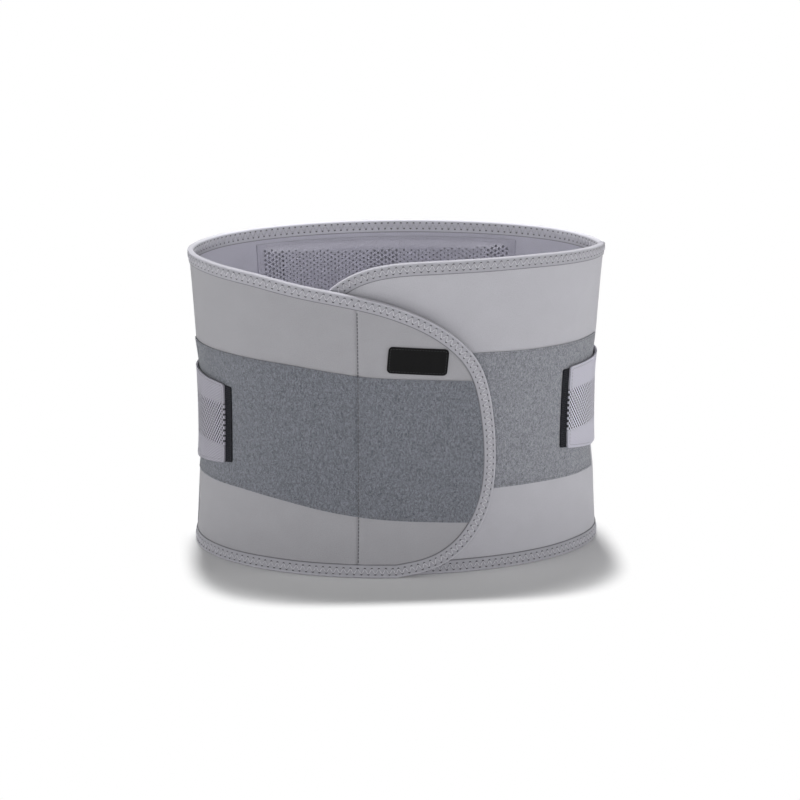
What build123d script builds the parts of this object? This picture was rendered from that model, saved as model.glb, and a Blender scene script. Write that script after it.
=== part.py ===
from build123d import *
import functools
import math
import os
from collections import namedtuple

# A closed lumbar support belt, fastened as it is worn.
# Millimetres. +Z up, -Y is the wearer's front, and the wearer's left is +X.
# The origin is the middle of the oval that the belt stands on.
# Every layer follows one flared oval tube. An "offset" is a distance outwards from the
# skin side of the lining, and a "lap" moves the front half forwards or backwards, so that
# the right wing lies on top of the left one.

# Overall shape
HALF_WIDTH = 157.2          # oval at the waist
HALF_DEPTH = 110.0
RIM_HEIGHT = 241.0          # back and sides
WAIST_HEIGHT = 101.0        # narrowest level
TOP_FLARE = 7.0             # how far the top rim stands out past the waist
BOTTOM_FLARE = 4.0
LAP = 3.75                  # right wing forwards, left wing backwards
SECTION_HEIGHTS = [-10.0, 45.0, 101.0, 150.0, 200.0, 262.0]
REACH = 400.0               # larger than the belt, for cutting solids

# Layers, as offsets
LINING = (0.0, 1.2)
OUTER = (1.25, 3.0)
PILE = (3.05, 3.9)          # loop strip on the wings
LABEL = (3.05, 3.8)
CHANNEL = (-0.7, 3.8)       # binding tape, folded over the edge
CHANNEL_HOLLOW = (-0.05, 3.05)
FLAP_HOOK = (-1.3, -0.1)
STRAP_HOOK = (4.0, 4.9)
STRAP = (4.95, 6.3)
PATCH = (6.4, 7.6)
MESH = (-4.2, -3.0)
PAD = (-2.95, -0.05)
STAY = (-2.0, -0.8)

# Binding tape
TAPE_WIDTH = 10.5
TAPE_EDGE = 0.8             # tape thickness past the fabric's edge
STRIP_GAP = 0.15            # between the tape and a strip that ends at it

# Joints
JOINT_GAP = 0.15            # each side of a joint line

# Plan positions, as x on the oval
LEFT_SEAM_X = 152.0         # side seam of the left wing
FLAP_SEAM_X = -41.5         # stitched line where the closure flap starts
SIDE_RISE = 5.5             # top rim at the left side seam, above the back's rim
CLEAR = 20.0                # cutting solids past the edge they cut

# Straps. The left one is wrapped a little higher than the right one.
StrapRun = namedtuple("StrapRun", "low high root_x tip_x tip_low tip_high lap side")
RIGHT_STRAP = StrapRun(73.5, 146.5, -156.4, -143.0, 79.5, 143.5, LAP, 1)
LEFT_STRAP = StrapRun(81.0, 154.0, 149.0, 130.5, 86.5, 153.5, -LAP, -1)
STRAP_START = 6.0           # from the spine to each strap's sewn end
HOOK_PAD_REACH = 7.0        # hook pad past the tab's tip
HOOK_PAD_INSET = 1.5        # hook pad inside the tab's edges
PATCH_LOW = 67.0
PATCH_HIGH = 160.0
PATCH_HALF_WIDTH = 26.0
PATCH_CORNER = 5.0

# Lumbar panel inside the back
MESH_HALF_WIDTH = 103.0
MESH_LOW = 22.0
MESH_HIGH = 227.0
MESH_CORNER = 6.0
STAY_XS = {"inner": 18.0, "outer": 77.0}
SLEEVE_WIDTH = 14.0
SLEEVE_CORNER = 2.0
SLEEVE_HEM = 4.0            # sewn shut past each end of the stay
STAY_WIDTH = 8.0
STAY_CORNER = 3.8
STAY_LOW = 29.0
STAY_HIGH = 212.0
CAP_WIDTH = 11.0
CAP_LENGTH = 6.0
CAP_END = 1.0               # cap past the stay's end
CAP_WALL = 0.3
PLAY = 0.05                 # round a stay in its cap, and a cap in its sleeve
PAD_INNER_X = 27.0
PAD_OUTER_X = 68.0
PAD_CORNER = 9.0

# Closure flap
FLAP_HOOK_LOW = 50.0
FLAP_HOOK_HIGH = 156.0
FLAP_HOOK_INSET = 1.0       # inside the tape
FLAP_HOOK_START = 4.0       # past the seam line

# Label place on the flap, bare
LABEL_CENTRE = (4.2, 172.5)
LABEL_SIZE = (45.5, 21.0)
LABEL_CORNER = 3.0
LABEL_TILT = -4.6

# Edge of the right wing and its flap, from the side seam round the rounded tip.
RIGHT_EDGE = [
    (-190, 242.0), (-163, 241.2), (-129, 238.4), (-85, 231.0), (-41, 223.6), (5, 208.4),
    (34, 190.0), (53, 167.0), (63, 132.0), (66.2, 93.0), (61.5, 54.5), (45.6, 25.7),
    (20.8, 8.0), (-12, 0.0),
]
# Edge of the left wing, from the side seam round the tip that the right wing hides.
LEFT_EDGE = [
    (190, 245.0), (152, 246.6), (112, 249.2), (60, 249.9), (10, 249.5), (-24, 246.5),
    (-45, 239.8), (-63, 227.0), (-79, 205.0), (-89, 176.0), (-93, 137.0), (-91, 98.0),
    (-83, 58.0), (-66, 27.0), (-42, 8.0), (-10, 0.0),
]
# Top and bottom edges of the loop strips.
RIGHT_PILE_TOP = [
    (-190, 170.0), (-138, 169.3), (-86, 166.2), (-41, 160.7), (17, 157.0), (70, 152.5),
]
RIGHT_PILE_BOTTOM = [
    (-190, 62.5), (-135, 62.2), (-94, 56.9), (-44, 48.6), (17, 43.8), (70, 39.0),
]
LEFT_PILE_TOP = [(152, 172.6), (101, 173.4), (48, 175.4), (-20, 176.0), (-100, 170.0)]
LEFT_PILE_BOTTOM = [(152, 61.8), (93, 64.6), (30, 64.0), (-30, 60.0), (-100, 54.0)]


# ---------------------------------------------------------------- the oval tube

def flare(height):
    """How far the oval stands out past its waist size at a height."""
    if height > WAIST_HEIGHT:
        return TOP_FLARE * ((height - WAIST_HEIGHT) / (RIM_HEIGHT - WAIST_HEIGHT)) ** 2
    return BOTTOM_FLARE * ((WAIST_HEIGHT - height) / WAIST_HEIGHT) ** 2


@functools.lru_cache(maxsize=None)
def tube(offset, lap):
    """The solid inside the oval tube at an offset."""
    sections = []
    for height in SECTION_HEIGHTS:
        half_width = HALF_WIDTH + flare(height) + offset
        half_depth = HALF_DEPTH + flare(height) + offset + lap
        sections.append(Pos(0, 0, height) * Ellipse(half_width, half_depth))
    return loft(sections)


@functools.lru_cache(maxsize=None)
def layer(span, lap=0.0):
    """The wall between two offsets, all the way round."""
    return tube(span[1], lap) - tube(span[0], lap)


def slab(low, high):
    """Everything between two heights."""
    return Pos(0, 0, (low + high) / 2) * Box(REACH * 2, REACH * 2, high - low)


def block(x_span, y_span):
    """An upright block, taller than the belt, between two xs and two ys."""
    middle = Pos(sum(x_span) / 2, sum(y_span) / 2, 0)
    return middle * Box(x_span[1] - x_span[0], y_span[1] - y_span[0], REACH * 2)


def oval_angle(x):
    """Angle on the front half of the oval at which it passes x."""
    return -math.acos(x / HALF_WIDTH)


def beyond(x, lap, side, gap=JOINT_GAP):
    """Half-space past the upright plane square to the front of the oval at x.

    side is 1 for the wearer's left of that plane and -1 for the right.
    """
    angle = oval_angle(x)
    tangent = Vector(-HALF_WIDTH * math.sin(angle), (HALF_DEPTH + lap) * math.cos(angle), 0)
    tangent = tangent.normalized() * side
    point = Vector(HALF_WIDTH * math.cos(angle), (HALF_DEPTH + lap) * math.sin(angle), 0)
    start = Plane(origin=point + tangent * gap, x_dir=tangent, z_dir=(0, 0, 1))
    return start * Box(REACH, REACH * 2, REACH * 2, align=(Align.MIN, Align.CENTER, Align.CENTER))


def back_half():
    """Everything behind the belt's widest line."""
    return block((-REACH, REACH), (0, REACH))


def left_side_front():
    """Everything in front of the widest line, on the wearer's left, up to the side seam."""
    return block((0, REACH), (-REACH, 0)) & beyond(LEFT_SEAM_X, -LAP, 1)


# ---------------------------------------------------------------- outlines seen from the front

def front_prism(face):
    """A front-view outline, pushed through the front half of the belt."""
    return extrude(Plane.XZ * face, REACH)


def back_prism(face):
    """A front-view outline, pushed through the back half of the belt."""
    return extrude(Plane.XZ * face, -REACH)


def wing_face(edge, inset):
    """A wing's outline, with its edge moved inwards by an inset."""
    curve = Spline(*edge)
    last = len(edge) - 1
    inwards = 1.0 if edge[0][0] > 0 else -1.0
    moved = []
    for index in range(last + 1):
        at = curve.position_at(index / last)
        along = curve.tangent_at(index / last)
        moved.append((at.X - inwards * along.Y * inset, at.Y + inwards * along.X * inset))
    moved[0] = (edge[0][0], moved[0][1])
    moved[-1] = (moved[-1][0], edge[-1][1] + inset)
    outer_x = edge[0][0]
    side = Polyline(moved[-1], (outer_x, moved[-1][1]), moved[0])
    return make_face([Spline(*moved), side])


def pile_face(top, bottom):
    """A loop strip's outline between its top and bottom edges."""
    ends = [Line(top[-1], bottom[-1]), Line(bottom[0], top[0])]
    return make_face([Spline(*top), ends[0], Spline(*reversed(bottom)), ends[1]])


def back_wall(span, low, high, side_rise=0.0):
    """A layer of the back with the left side panel, between two heights.

    side_rise lifts the top edge towards the left side seam, where the wing is taller.
    """
    half = layer(span) & back_half() & slab(low, high)
    seam_y = HALF_DEPTH * math.sin(oval_angle(LEFT_SEAM_X))
    ramp = [(0, low), (0, high), (seam_y, high + side_rise), (seam_y * 2, high + side_rise),
            (seam_y * 2, low)]
    ramp_prism = extrude(Plane.YZ * make_face(Polyline(*ramp, close=True)), REACH)
    side = layer(span, -LAP) & left_side_front() & ramp_prism
    return half + side


def right_wing_region():
    """The right wing between the side and the flap's seam line."""
    return block((-REACH, FLAP_SEAM_X - JOINT_GAP), (-REACH, -JOINT_GAP))


def flap_region():
    """The closure flap, past its seam line."""
    return block((FLAP_SEAM_X + JOINT_GAP, REACH), (-REACH, 0))


def left_wing_region():
    """The left wing, in front of its side seam."""
    return beyond(LEFT_SEAM_X, -LAP, -1)


def wing_wall(span, lap, edge, inset, region):
    """A layer of a wing, cut to its outline."""
    return layer(span, lap) & front_prism(wing_face(edge, inset)) & region


def wing_tape(lap, edge, region):
    """Binding tape folded over a wing's edge."""
    folded = wing_wall(CHANNEL, lap, edge, 0.0, region) - front_prism(wing_face(edge, TAPE_WIDTH))
    hollow = layer(CHANNEL_HOLLOW, lap) & front_prism(wing_face(edge, TAPE_EDGE))
    return folded - hollow


# ---------------------------------------------------------------- back

def back_outer_fabric():
    return back_wall(OUTER, TAPE_EDGE, RIM_HEIGHT - TAPE_EDGE, SIDE_RISE)


def back_lining():
    return back_wall(LINING, TAPE_EDGE, RIM_HEIGHT - TAPE_EDGE, SIDE_RISE)


def back_top_binding():
    folded = back_wall(CHANNEL, TAPE_EDGE, RIM_HEIGHT, SIDE_RISE)
    folded = folded - back_wall(CHANNEL, -CLEAR, RIM_HEIGHT - TAPE_WIDTH, SIDE_RISE)
    return folded - back_wall(CHANNEL_HOLLOW, -CLEAR, RIM_HEIGHT - TAPE_EDGE, SIDE_RISE)


def back_bottom_binding():
    folded = back_wall(CHANNEL, 0.0, TAPE_WIDTH)
    return folded - back_wall(CHANNEL_HOLLOW, TAPE_EDGE, TAPE_WIDTH + CLEAR)


def rounded_bar(x, low, high, width, corner):
    """An upright rounded rectangle in the front view."""
    face = RectangleRounded(width, high - low, corner)
    return back_prism(Pos(x, (low + high) / 2) * face)


def lumbar_mesh_panel():
    outline = rounded_bar(0, MESH_LOW, MESH_HIGH, 2 * MESH_HALF_WIDTH, MESH_CORNER)
    return layer(MESH) & outline


def lumbar_pad(side):
    middle = side * (PAD_INNER_X + PAD_OUTER_X) / 2
    outline = rounded_bar(middle, STAY_LOW, STAY_HIGH, PAD_OUTER_X - PAD_INNER_X, PAD_CORNER)
    return layer(PAD) & outline


def steel_stay(x):
    return layer(STAY) & rounded_bar(x, STAY_LOW, STAY_HIGH, STAY_WIDTH, STAY_CORNER)


def stay_room(x):
    """The space that a stay takes, with a little play."""
    room = rounded_bar(x, STAY_LOW - PLAY, STAY_HIGH + PLAY, STAY_WIDTH + 2 * PLAY, STAY_CORNER)
    return layer((STAY[0] - PLAY, STAY[1] + PLAY)) & room


def stay_caps(xs):
    """Plastic caps on both ends of every stay."""
    shell = layer((STAY[0] - CAP_WALL, STAY[1] + CAP_WALL))
    ends = [(STAY_LOW - CAP_END, STAY_LOW + CAP_LENGTH), (STAY_HIGH - CAP_LENGTH, STAY_HIGH + CAP_END)]
    caps = []
    for x in xs:
        column = block((x - CAP_WIDTH / 2, x + CAP_WIDTH / 2), (0, REACH))
        for low, high in ends:
            caps.append((shell & column & slab(low, high)) - stay_room(x))
    return caps


def stay_sleeve(x):
    """A tape sleeve, sewn shut round one stay and its caps."""
    outline = rounded_bar(x, STAY_LOW - SLEEVE_HEM, STAY_HIGH + SLEEVE_HEM, SLEEVE_WIDTH, SLEEVE_CORNER)
    half_room = CAP_WIDTH / 2 + PLAY
    pocket = layer((STAY[0] - CAP_WALL - PLAY, STAY[1] + CAP_WALL + PLAY))
    pocket = pocket & block((x - half_room, x + half_room), (0, REACH))
    pocket = pocket & slab(STAY_LOW - CAP_END - PLAY, STAY_HIGH + CAP_END + PLAY)
    return (layer(PAD) & outline) - pocket


# ---------------------------------------------------------------- straps

def strap_rear(run):
    """A strap on the back, from its sewn end to its side."""
    if run.side > 0:
        return layer(STRAP) & block((-REACH, -STRAP_START), (0, REACH)) & slab(run.low, run.high)
    rear = layer(STRAP) & block((STRAP_START, REACH), (0, REACH)) & slab(run.low, run.high)
    return rear + (layer(STRAP, run.lap) & left_side_front() & slab(run.low, run.high))


def strap_front(run, region):
    """A strap on its wing, up to the tab."""
    return layer(STRAP, run.lap) & region & beyond(run.root_x, run.lap, -run.side) & slab(run.low, run.high)


def strap_anchor_patch():
    return layer(PATCH) & rounded_bar(0, PATCH_LOW, PATCH_HIGH, 2 * PATCH_HALF_WIDTH, PATCH_CORNER)


def tab_face(run, inset=0.0, reach=0.0):
    """A tab's outline: it narrows from the strap's width to its tip."""
    far = run.root_x - run.side * CLEAR
    end = run.tip_x + run.side * reach
    points = [
        (far, run.low + inset), (run.root_x, run.low + inset), (end, run.tip_low + inset),
        (end, run.tip_high - inset), (run.root_x, run.high - inset), (far, run.high - inset),
    ]
    return make_face(Polyline(*points, close=True))


def strap_tab(run):
    return layer(STRAP, run.lap) & front_prism(tab_face(run)) & beyond(run.root_x, run.lap, run.side)


def tab_hook_pad(run):
    outline = front_prism(tab_face(run, HOOK_PAD_INSET, HOOK_PAD_REACH))
    past_root = beyond(run.root_x, run.lap, run.side, JOINT_GAP + HOOK_PAD_INSET)
    return layer(STRAP_HOOK, run.lap) & outline & past_root


# ---------------------------------------------------------------- wings and flap

def pile_region(edge, top, bottom):
    """A loop strip's outline, ended at the binding tape."""
    inside_tape = front_prism(wing_face(edge, TAPE_WIDTH + STRIP_GAP))
    return inside_tape & front_prism(pile_face(top, bottom))


def flap_hook_panel():
    inside_tape = front_prism(wing_face(RIGHT_EDGE, TAPE_WIDTH + FLAP_HOOK_INSET))
    past_seam = block((FLAP_SEAM_X + FLAP_HOOK_START, REACH), (-REACH, 0))
    return layer(FLAP_HOOK, LAP) & inside_tape & slab(FLAP_HOOK_LOW, FLAP_HOOK_HIGH) & past_seam


def label_patch():
    face = Rot(0, 0, LABEL_TILT) * RectangleRounded(LABEL_SIZE[0], LABEL_SIZE[1], LABEL_CORNER)
    return layer(LABEL, LAP) & front_prism(Pos(*LABEL_CENTRE) * face)


def right_wing_parts():
    region = right_wing_region()
    tape = wing_tape(LAP, RIGHT_EDGE, region)
    waist = RIM_HEIGHT / 2
    pile = layer(PILE, LAP) & region & pile_region(RIGHT_EDGE, RIGHT_PILE_TOP, RIGHT_PILE_BOTTOM)
    return {
        "right_wing_outer_fabric": wing_wall(OUTER, LAP, RIGHT_EDGE, TAPE_EDGE, region),
        "right_wing_lining": wing_wall(LINING, LAP, RIGHT_EDGE, TAPE_EDGE, region),
        "right_wing_loop_strip": pile,
        "right_wing_top_binding": tape & slab(waist, RIM_HEIGHT + CLEAR),
        "right_wing_bottom_binding": tape & slab(-CLEAR, waist),
        "right_strap_front": strap_front(RIGHT_STRAP, block((-REACH, 0), (-REACH, -JOINT_GAP))),
    }


def flap_parts():
    region = flap_region()
    pile = layer(PILE, LAP) & region & pile_region(RIGHT_EDGE, RIGHT_PILE_TOP, RIGHT_PILE_BOTTOM)
    return {
        "flap_outer_fabric": wing_wall(OUTER, LAP, RIGHT_EDGE, TAPE_EDGE, region),
        "flap_lining": wing_wall(LINING, LAP, RIGHT_EDGE, TAPE_EDGE, region),
        "flap_loop_strip": pile,
        "flap_binding": wing_tape(LAP, RIGHT_EDGE, region),
        "flap_hook_panel": flap_hook_panel(),
        "label_patch": label_patch(),
    }


def left_wing_parts():
    region = left_wing_region()
    pile = layer(PILE, -LAP) & region & pile_region(LEFT_EDGE, LEFT_PILE_TOP, LEFT_PILE_BOTTOM)
    return {
        "left_wing_outer_fabric": wing_wall(OUTER, -LAP, LEFT_EDGE, TAPE_EDGE, region),
        "left_wing_lining": wing_wall(LINING, -LAP, LEFT_EDGE, TAPE_EDGE, region),
        "left_wing_loop_strip": pile,
        "left_wing_binding": wing_tape(-LAP, LEFT_EDGE, region),
        "left_strap_front": strap_front(LEFT_STRAP, region),
    }


def tab_parts():
    return {
        "right_strap_tab": strap_tab(RIGHT_STRAP),
        "right_tab_hook_pad": tab_hook_pad(RIGHT_STRAP),
        "left_strap_tab": strap_tab(LEFT_STRAP),
        "left_tab_hook_pad": tab_hook_pad(LEFT_STRAP),
    }


def back_parts():
    parts = {
        "back_outer_fabric": back_outer_fabric(),
        "back_lining": back_lining(),
        "back_top_binding": back_top_binding(),
        "back_bottom_binding": back_bottom_binding(),
        "lumbar_mesh_panel": lumbar_mesh_panel(),
        "right_lumbar_pad": lumbar_pad(-1),
        "left_lumbar_pad": lumbar_pad(1),
        "strap_anchor_patch": strap_anchor_patch(),
        "right_strap_rear": strap_rear(RIGHT_STRAP),
        "left_strap_rear": strap_rear(LEFT_STRAP),
    }
    xs = []
    for side_name, side in (("right", -1), ("left", 1)):
        for place, distance in STAY_XS.items():
            parts[f"{side_name}_{place}_stay_sleeve"] = stay_sleeve(side * distance)
            parts[f"{side_name}_{place}_steel_stay"] = steel_stay(side * distance)
            xs.append(side * distance)
    parts["stay_end_caps"] = Compound(children=stay_caps(xs))
    return parts


def main():
    os.makedirs("parts", exist_ok=True)
    for parts in (back_parts(), right_wing_parts(), flap_parts(), left_wing_parts(), tab_parts()):
        for name, solid in parts.items():
            export_step(solid, f"parts/{name}.step")
            print(name)


main()
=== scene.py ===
"""Looks for a closed lumbar support belt: its cloth, binding tape, straps and sewing.

Soft pieces are cut flat, in belt coordinates in millimetres, and then wrapped onto the oval
that the belt stands in. Belt coordinates are s, the distance round the waist from the front
middle towards the wearer's left, n, the distance outwards from the skin, and z, the height.
A flat piece lies with s along X, n along -Y and z along Z.
"""
import logging
import math
from dataclasses import dataclass, field
from enum import Enum
from typing import Callable, Optional, Sequence

import bmesh
import bpy
import numpy as np
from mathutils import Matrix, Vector


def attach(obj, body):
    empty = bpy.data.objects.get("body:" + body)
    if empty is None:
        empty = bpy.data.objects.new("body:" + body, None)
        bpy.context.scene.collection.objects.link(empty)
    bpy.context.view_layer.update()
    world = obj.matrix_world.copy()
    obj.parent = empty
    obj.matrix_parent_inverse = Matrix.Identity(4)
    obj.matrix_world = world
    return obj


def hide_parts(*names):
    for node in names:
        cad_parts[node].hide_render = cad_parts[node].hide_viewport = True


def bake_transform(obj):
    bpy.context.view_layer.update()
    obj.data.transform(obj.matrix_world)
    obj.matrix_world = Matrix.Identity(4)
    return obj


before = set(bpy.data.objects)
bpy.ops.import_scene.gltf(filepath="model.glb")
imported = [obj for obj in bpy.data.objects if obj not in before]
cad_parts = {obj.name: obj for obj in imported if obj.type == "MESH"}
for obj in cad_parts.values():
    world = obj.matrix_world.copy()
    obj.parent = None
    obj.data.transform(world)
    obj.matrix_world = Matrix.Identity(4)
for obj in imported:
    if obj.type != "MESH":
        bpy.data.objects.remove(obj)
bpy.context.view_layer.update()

LOG = logging.getLogger("belt")
MM = 0.001
SMALLEST_SHEET = 0.01
ENDLESS = 1e4
WHOLE = (-ENDLESS, ENDLESS)
FLAP_SEAM_X = -41.5
LEFT_SEAM_X = 152.0
RIGHT_ROOT_X = -156.4
LEFT_ROOT_X = 149.0
STRAP_HEIGHT = 113.0
STRAP_GAP = 6.0
STRAP_PULL = 2.0
SHARP_EDGE = math.radians(42)
Path = np.ndarray
Colour = tuple[float, float, float]


# ------------------------------------------------------------------ the oval and its bends

class Lap(float, Enum):
    """How far a layer's front half is moved forwards, in millimetres."""

    RIGHT = 3.75
    LEFT = -3.75


@dataclass(frozen=True)
class Oval:
    """The flared oval tube that every layer follows.

    Sizes are in millimetres, at the skin side of the lining.
    """

    half_width: float = 157.2
    half_depth: float = 110.0
    rim_height: float = 241.0
    waist_height: float = 101.0
    top_flare: float = 7.0
    bottom_flare: float = 4.0
    steps: int = 4000

    def flare(self, z: np.ndarray) -> np.ndarray:
        """How far the oval stands out past its waist size at each height."""
        above = np.clip((z - self.waist_height) / (self.rim_height - self.waist_height), 0, None)
        below = np.clip((self.waist_height - z) / self.waist_height, 0, None)
        return self.top_flare * above ** 2 + self.bottom_flare * below ** 2

    def table(self) -> tuple[np.ndarray, np.ndarray]:
        """Matching distances round the waist and angles, in step."""
        angle = np.linspace(-math.pi - 0.3, math.pi + 0.3, self.steps)
        speed = np.hypot(self.half_width * np.sin(angle), self.half_depth * np.cos(angle))
        gap = (speed[1:] + speed[:-1]) / 2 * np.diff(angle)
        distance = np.concatenate([[0.0], np.cumsum(gap)])
        return distance - np.interp(-math.pi / 2, angle, distance), angle

    def angle(self, s: np.ndarray) -> np.ndarray:
        """Angle round the oval at each distance."""
        distance, angle = self.table()
        return np.interp(s, distance, angle)

    def station(self, x: float, z: float = 101.0, n: float = 2.0) -> float:
        """Distance round the waist of a point on the front half, from its x and height."""
        reach = self.half_width + float(self.flare(np.array(z))) + n
        distance, angle = self.table()
        return float(np.interp(-math.acos(max(-1.0, min(1.0, x / reach))), angle, distance))

    def quarter(self) -> float:
        """A quarter of the girth at the waist."""
        return self.station(self.half_width, n=0.0)

    def place(self, flat: np.ndarray, lap: float) -> np.ndarray:
        """Wraps flat points onto the oval.

        Args:
            flat: rows of s, -n and z in millimetres.
            lap: how far the front half is moved forwards.

        Returns:
            Rows of x, y and z in metres.
        """
        s, n, z = flat[:, 0], -flat[:, 1], flat[:, 2]
        angle = self.angle(s)
        out = self.flare(z) + n + ripple(s, z)
        depth = self.half_depth + out + lap * (np.sin(angle) < 0)
        x = (self.half_width + out) * np.cos(angle)
        return np.stack([x, depth * np.sin(angle), z], axis=1) * MM

    def normal_frame(self, x: float, lap: float) -> tuple[Vector, Vector]:
        """A point of the front half at x, and the direction towards larger x, in metres."""
        angle = -math.acos(x / self.half_width)
        depth = self.half_depth + lap
        along = Vector((-self.half_width * math.sin(angle), depth * math.cos(angle), 0))
        point = Vector((x, depth * math.sin(angle), self.waist_height)) * MM
        return point, along.normalized()


OVAL = Oval()


def ripple(s: np.ndarray, z: np.ndarray) -> np.ndarray:
    """Soft unevenness of worn cloth, the same for every layer, in millimetres.

    The straps draw the sides in, and the stays keep the middle of the back even.
    """
    quarter = OVAL.quarter()
    slow = 0.45 * np.sin(s / 31.0 + 0.7) * np.sin(z / 57.0 + 0.4)
    quick = 0.22 * np.sin(s / 13.7 + z / 41.0) + 0.14 * np.sin(s / 8.1 - z / 19.0)
    stayed = np.exp(-((s - 2 * quarter) / 125.0) ** 6)
    uneven = (slow + quick) * np.clip(z / 14.0, 0.0, 1.0) * (1.0 - stayed)
    beside = np.minimum(np.abs(np.abs(s) - quarter), np.abs(s - 3 * quarter))
    drawn_in = STRAP_PULL * np.exp(-(beside / 62.0) ** 2) * np.exp(-((z - STRAP_HEIGHT) / 47.0) ** 6)
    return uneven - drawn_in


@dataclass(frozen=True)
class Bend:
    """Where cloth turns from one body to the next."""

    parent: str
    child: str
    start: Vector
    end: Vector


def bends() -> dict[str, Bend]:
    """Each hinge line of the belt, by the name of the body that it moves.

    A bend starts on the hinge line and ends a few millimetres into the cloth that turns.
    """
    side = Vector((-OVAL.half_width * MM, 0, 0))
    left, left_along = OVAL.normal_frame(LEFT_SEAM_X, Lap.LEFT)
    flap = OVAL.normal_frame(FLAP_SEAM_X, Lap.RIGHT)[0]
    right_root, right_along = OVAL.normal_frame(RIGHT_ROOT_X, Lap.RIGHT)
    left_root, root_along = OVAL.normal_frame(LEFT_ROOT_X, Lap.LEFT)
    return {
        "right_wing": Bend("back", "right_wing", side, side + Vector((0, -0.012, 0))),
        "left_wing": Bend("back", "left_wing", left, left - left_along * 0.005),
        "closure_flap": Bend("right_wing", "closure_flap", flap, flap + Vector((0.016, 0, 0))),
        "right_tab": Bend("right_wing", "right_tab", right_root, right_root + right_along * 0.008),
        "left_tab": Bend("left_wing", "left_tab", left_root, left_root - root_along * 0.006),
    }


BENDS = bends()


# ------------------------------------------------------------------ curves in the flat cloth

def smooth_curve(points: Sequence[tuple[float, float]], spacing: float = 2.4) -> Path:
    """A natural cubic spline through a few points, evenly sampled.

    Args:
        points: the outline's few points.
        spacing: distance between samples in millimetres.

    Returns:
        Rows of two coordinates.
    """
    knots = np.array(points, float)
    run = np.concatenate([[0.0], np.cumsum(np.hypot(*np.diff(knots, axis=0).T))])
    count = len(knots)
    step = np.diff(run)
    system = np.eye(count)
    right = np.zeros((count, 2))
    for row in range(1, count - 1):
        system[row, row - 1: row + 2] = step[row - 1], 2 * (step[row - 1] + step[row]), step[row]
        slopes = np.diff(knots[row - 1: row + 2], axis=0) / step[row - 1: row + 1, None]
        right[row] = 6 * (slopes[1] - slopes[0])
    bending = np.linalg.solve(system, right)
    at = np.linspace(0, run[-1], max(3, int(run[-1] / spacing)))
    span = np.clip(np.searchsorted(run, at, side="right") - 1, 0, count - 2)
    width = step[span][:, None]
    low = (at - run[span])[:, None]
    high = width - low
    cubic = (bending[span] * high ** 3 + bending[span + 1] * low ** 3) / (6 * width)
    linear = (knots[span] / width - bending[span] * width / 6) * high
    return cubic + linear + (knots[span + 1] / width - bending[span + 1] * width / 6) * low


def to_cloth(curve: Path) -> Path:
    """Front-view points (x, z) as belt coordinates (s, z)."""
    return np.array([(OVAL.station(x, z), z) for x, z in curve])


def resample(path: Path, spacing: float) -> Path:
    """The same path with evenly spaced points."""
    run = path_run(path)
    at = np.linspace(0, run[-1], max(2, int(round(run[-1] / spacing)) + 1))
    return np.stack([np.interp(at, run, path[:, column]) for column in range(path.shape[1])], axis=1)


def path_run(path: Path) -> np.ndarray:
    """Distance along a path at each of its points."""
    return np.concatenate([[0.0], np.cumsum(np.sqrt((np.diff(path, axis=0) ** 2).sum(1)))])


def inwards(path: Path, turn: float) -> Path:
    """Unit vectors square to a path, on its right where turn is 1 and its left where -1."""
    along = np.gradient(path, axis=0)
    along /= np.maximum(np.hypot(*along.T), 1e-9)[:, None]
    return np.stack([along[:, 1], -along[:, 0]], axis=1) * turn


def moved(path: Path, turn: float, distance: float) -> Path:
    """A path moved inwards."""
    return path + inwards(path, turn) * distance


def clipped(path: Path, low: float, high: float) -> list[Path]:
    """The runs of a path that lie between two stations, ended exactly on them."""
    runs: list[list] = [[]]
    for first, second in zip(path[:-1], path[1:]):
        span = second - first
        reach = span[0] if abs(span[0]) > 1e-9 else 1e-9
        cuts = sorted(share for share in ((low - first[0]) / reach, (high - first[0]) / reach) if 0 < share < 1)
        marks = [0.0, *cuts, 1.0]
        for start, end in zip(marks[:-1], marks[1:]):
            if low <= first[0] + span[0] * (start + end) / 2 <= high:
                runs[-1] += [first + span * end] if runs[-1] else [first + span * start, first + span * end]
            elif runs[-1]:
                runs.append([])
    return [np.array(run) for run in runs if run]


def level(start: float, end: float, height: float) -> Path:
    """A straight level path."""
    return resample(np.array([(start, height), (end, height)]), 2.4)


# ------------------------------------------------------------------ meshes

def from_flat(bm: bmesh.types.BMesh, name: str, lap: float) -> bpy.types.Object:
    """Wraps a flat bmesh onto the oval and makes an object of it.

    Args:
        bm: the flat piece, in millimetres. It is freed.
        name: the object's name.
        lap: how far the front half is moved forwards.

    Returns:
        The new object, with its place in its mesh.
    """
    flat = np.array([v.co for v in bm.verts])
    for vert, place in zip(bm.verts, OVAL.place(flat, lap)):
        vert.co = place
    bmesh.ops.recalc_face_normals(bm, faces=bm.faces)
    for face in bm.faces:
        face.smooth = True
    for edge in bm.edges:
        edge.smooth = len(edge.link_faces) == 2 and edge.calc_face_angle(0.0) < SHARP_EDGE
    mesh = bpy.data.meshes.new(name)
    bm.to_mesh(mesh)
    bm.free()
    piece = bpy.data.objects.new(name, mesh)
    bpy.context.scene.collection.objects.link(piece)
    return piece


def flat_uv(bm: bmesh.types.BMesh) -> None:
    """UVs in millimetres of cloth, from the flat piece."""
    layer = bm.loops.layers.uv.verify()
    for face in bm.faces:
        for loop in face.loops:
            loop[layer].uv = loop.vert.co.x, loop.vert.co.z


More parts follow.
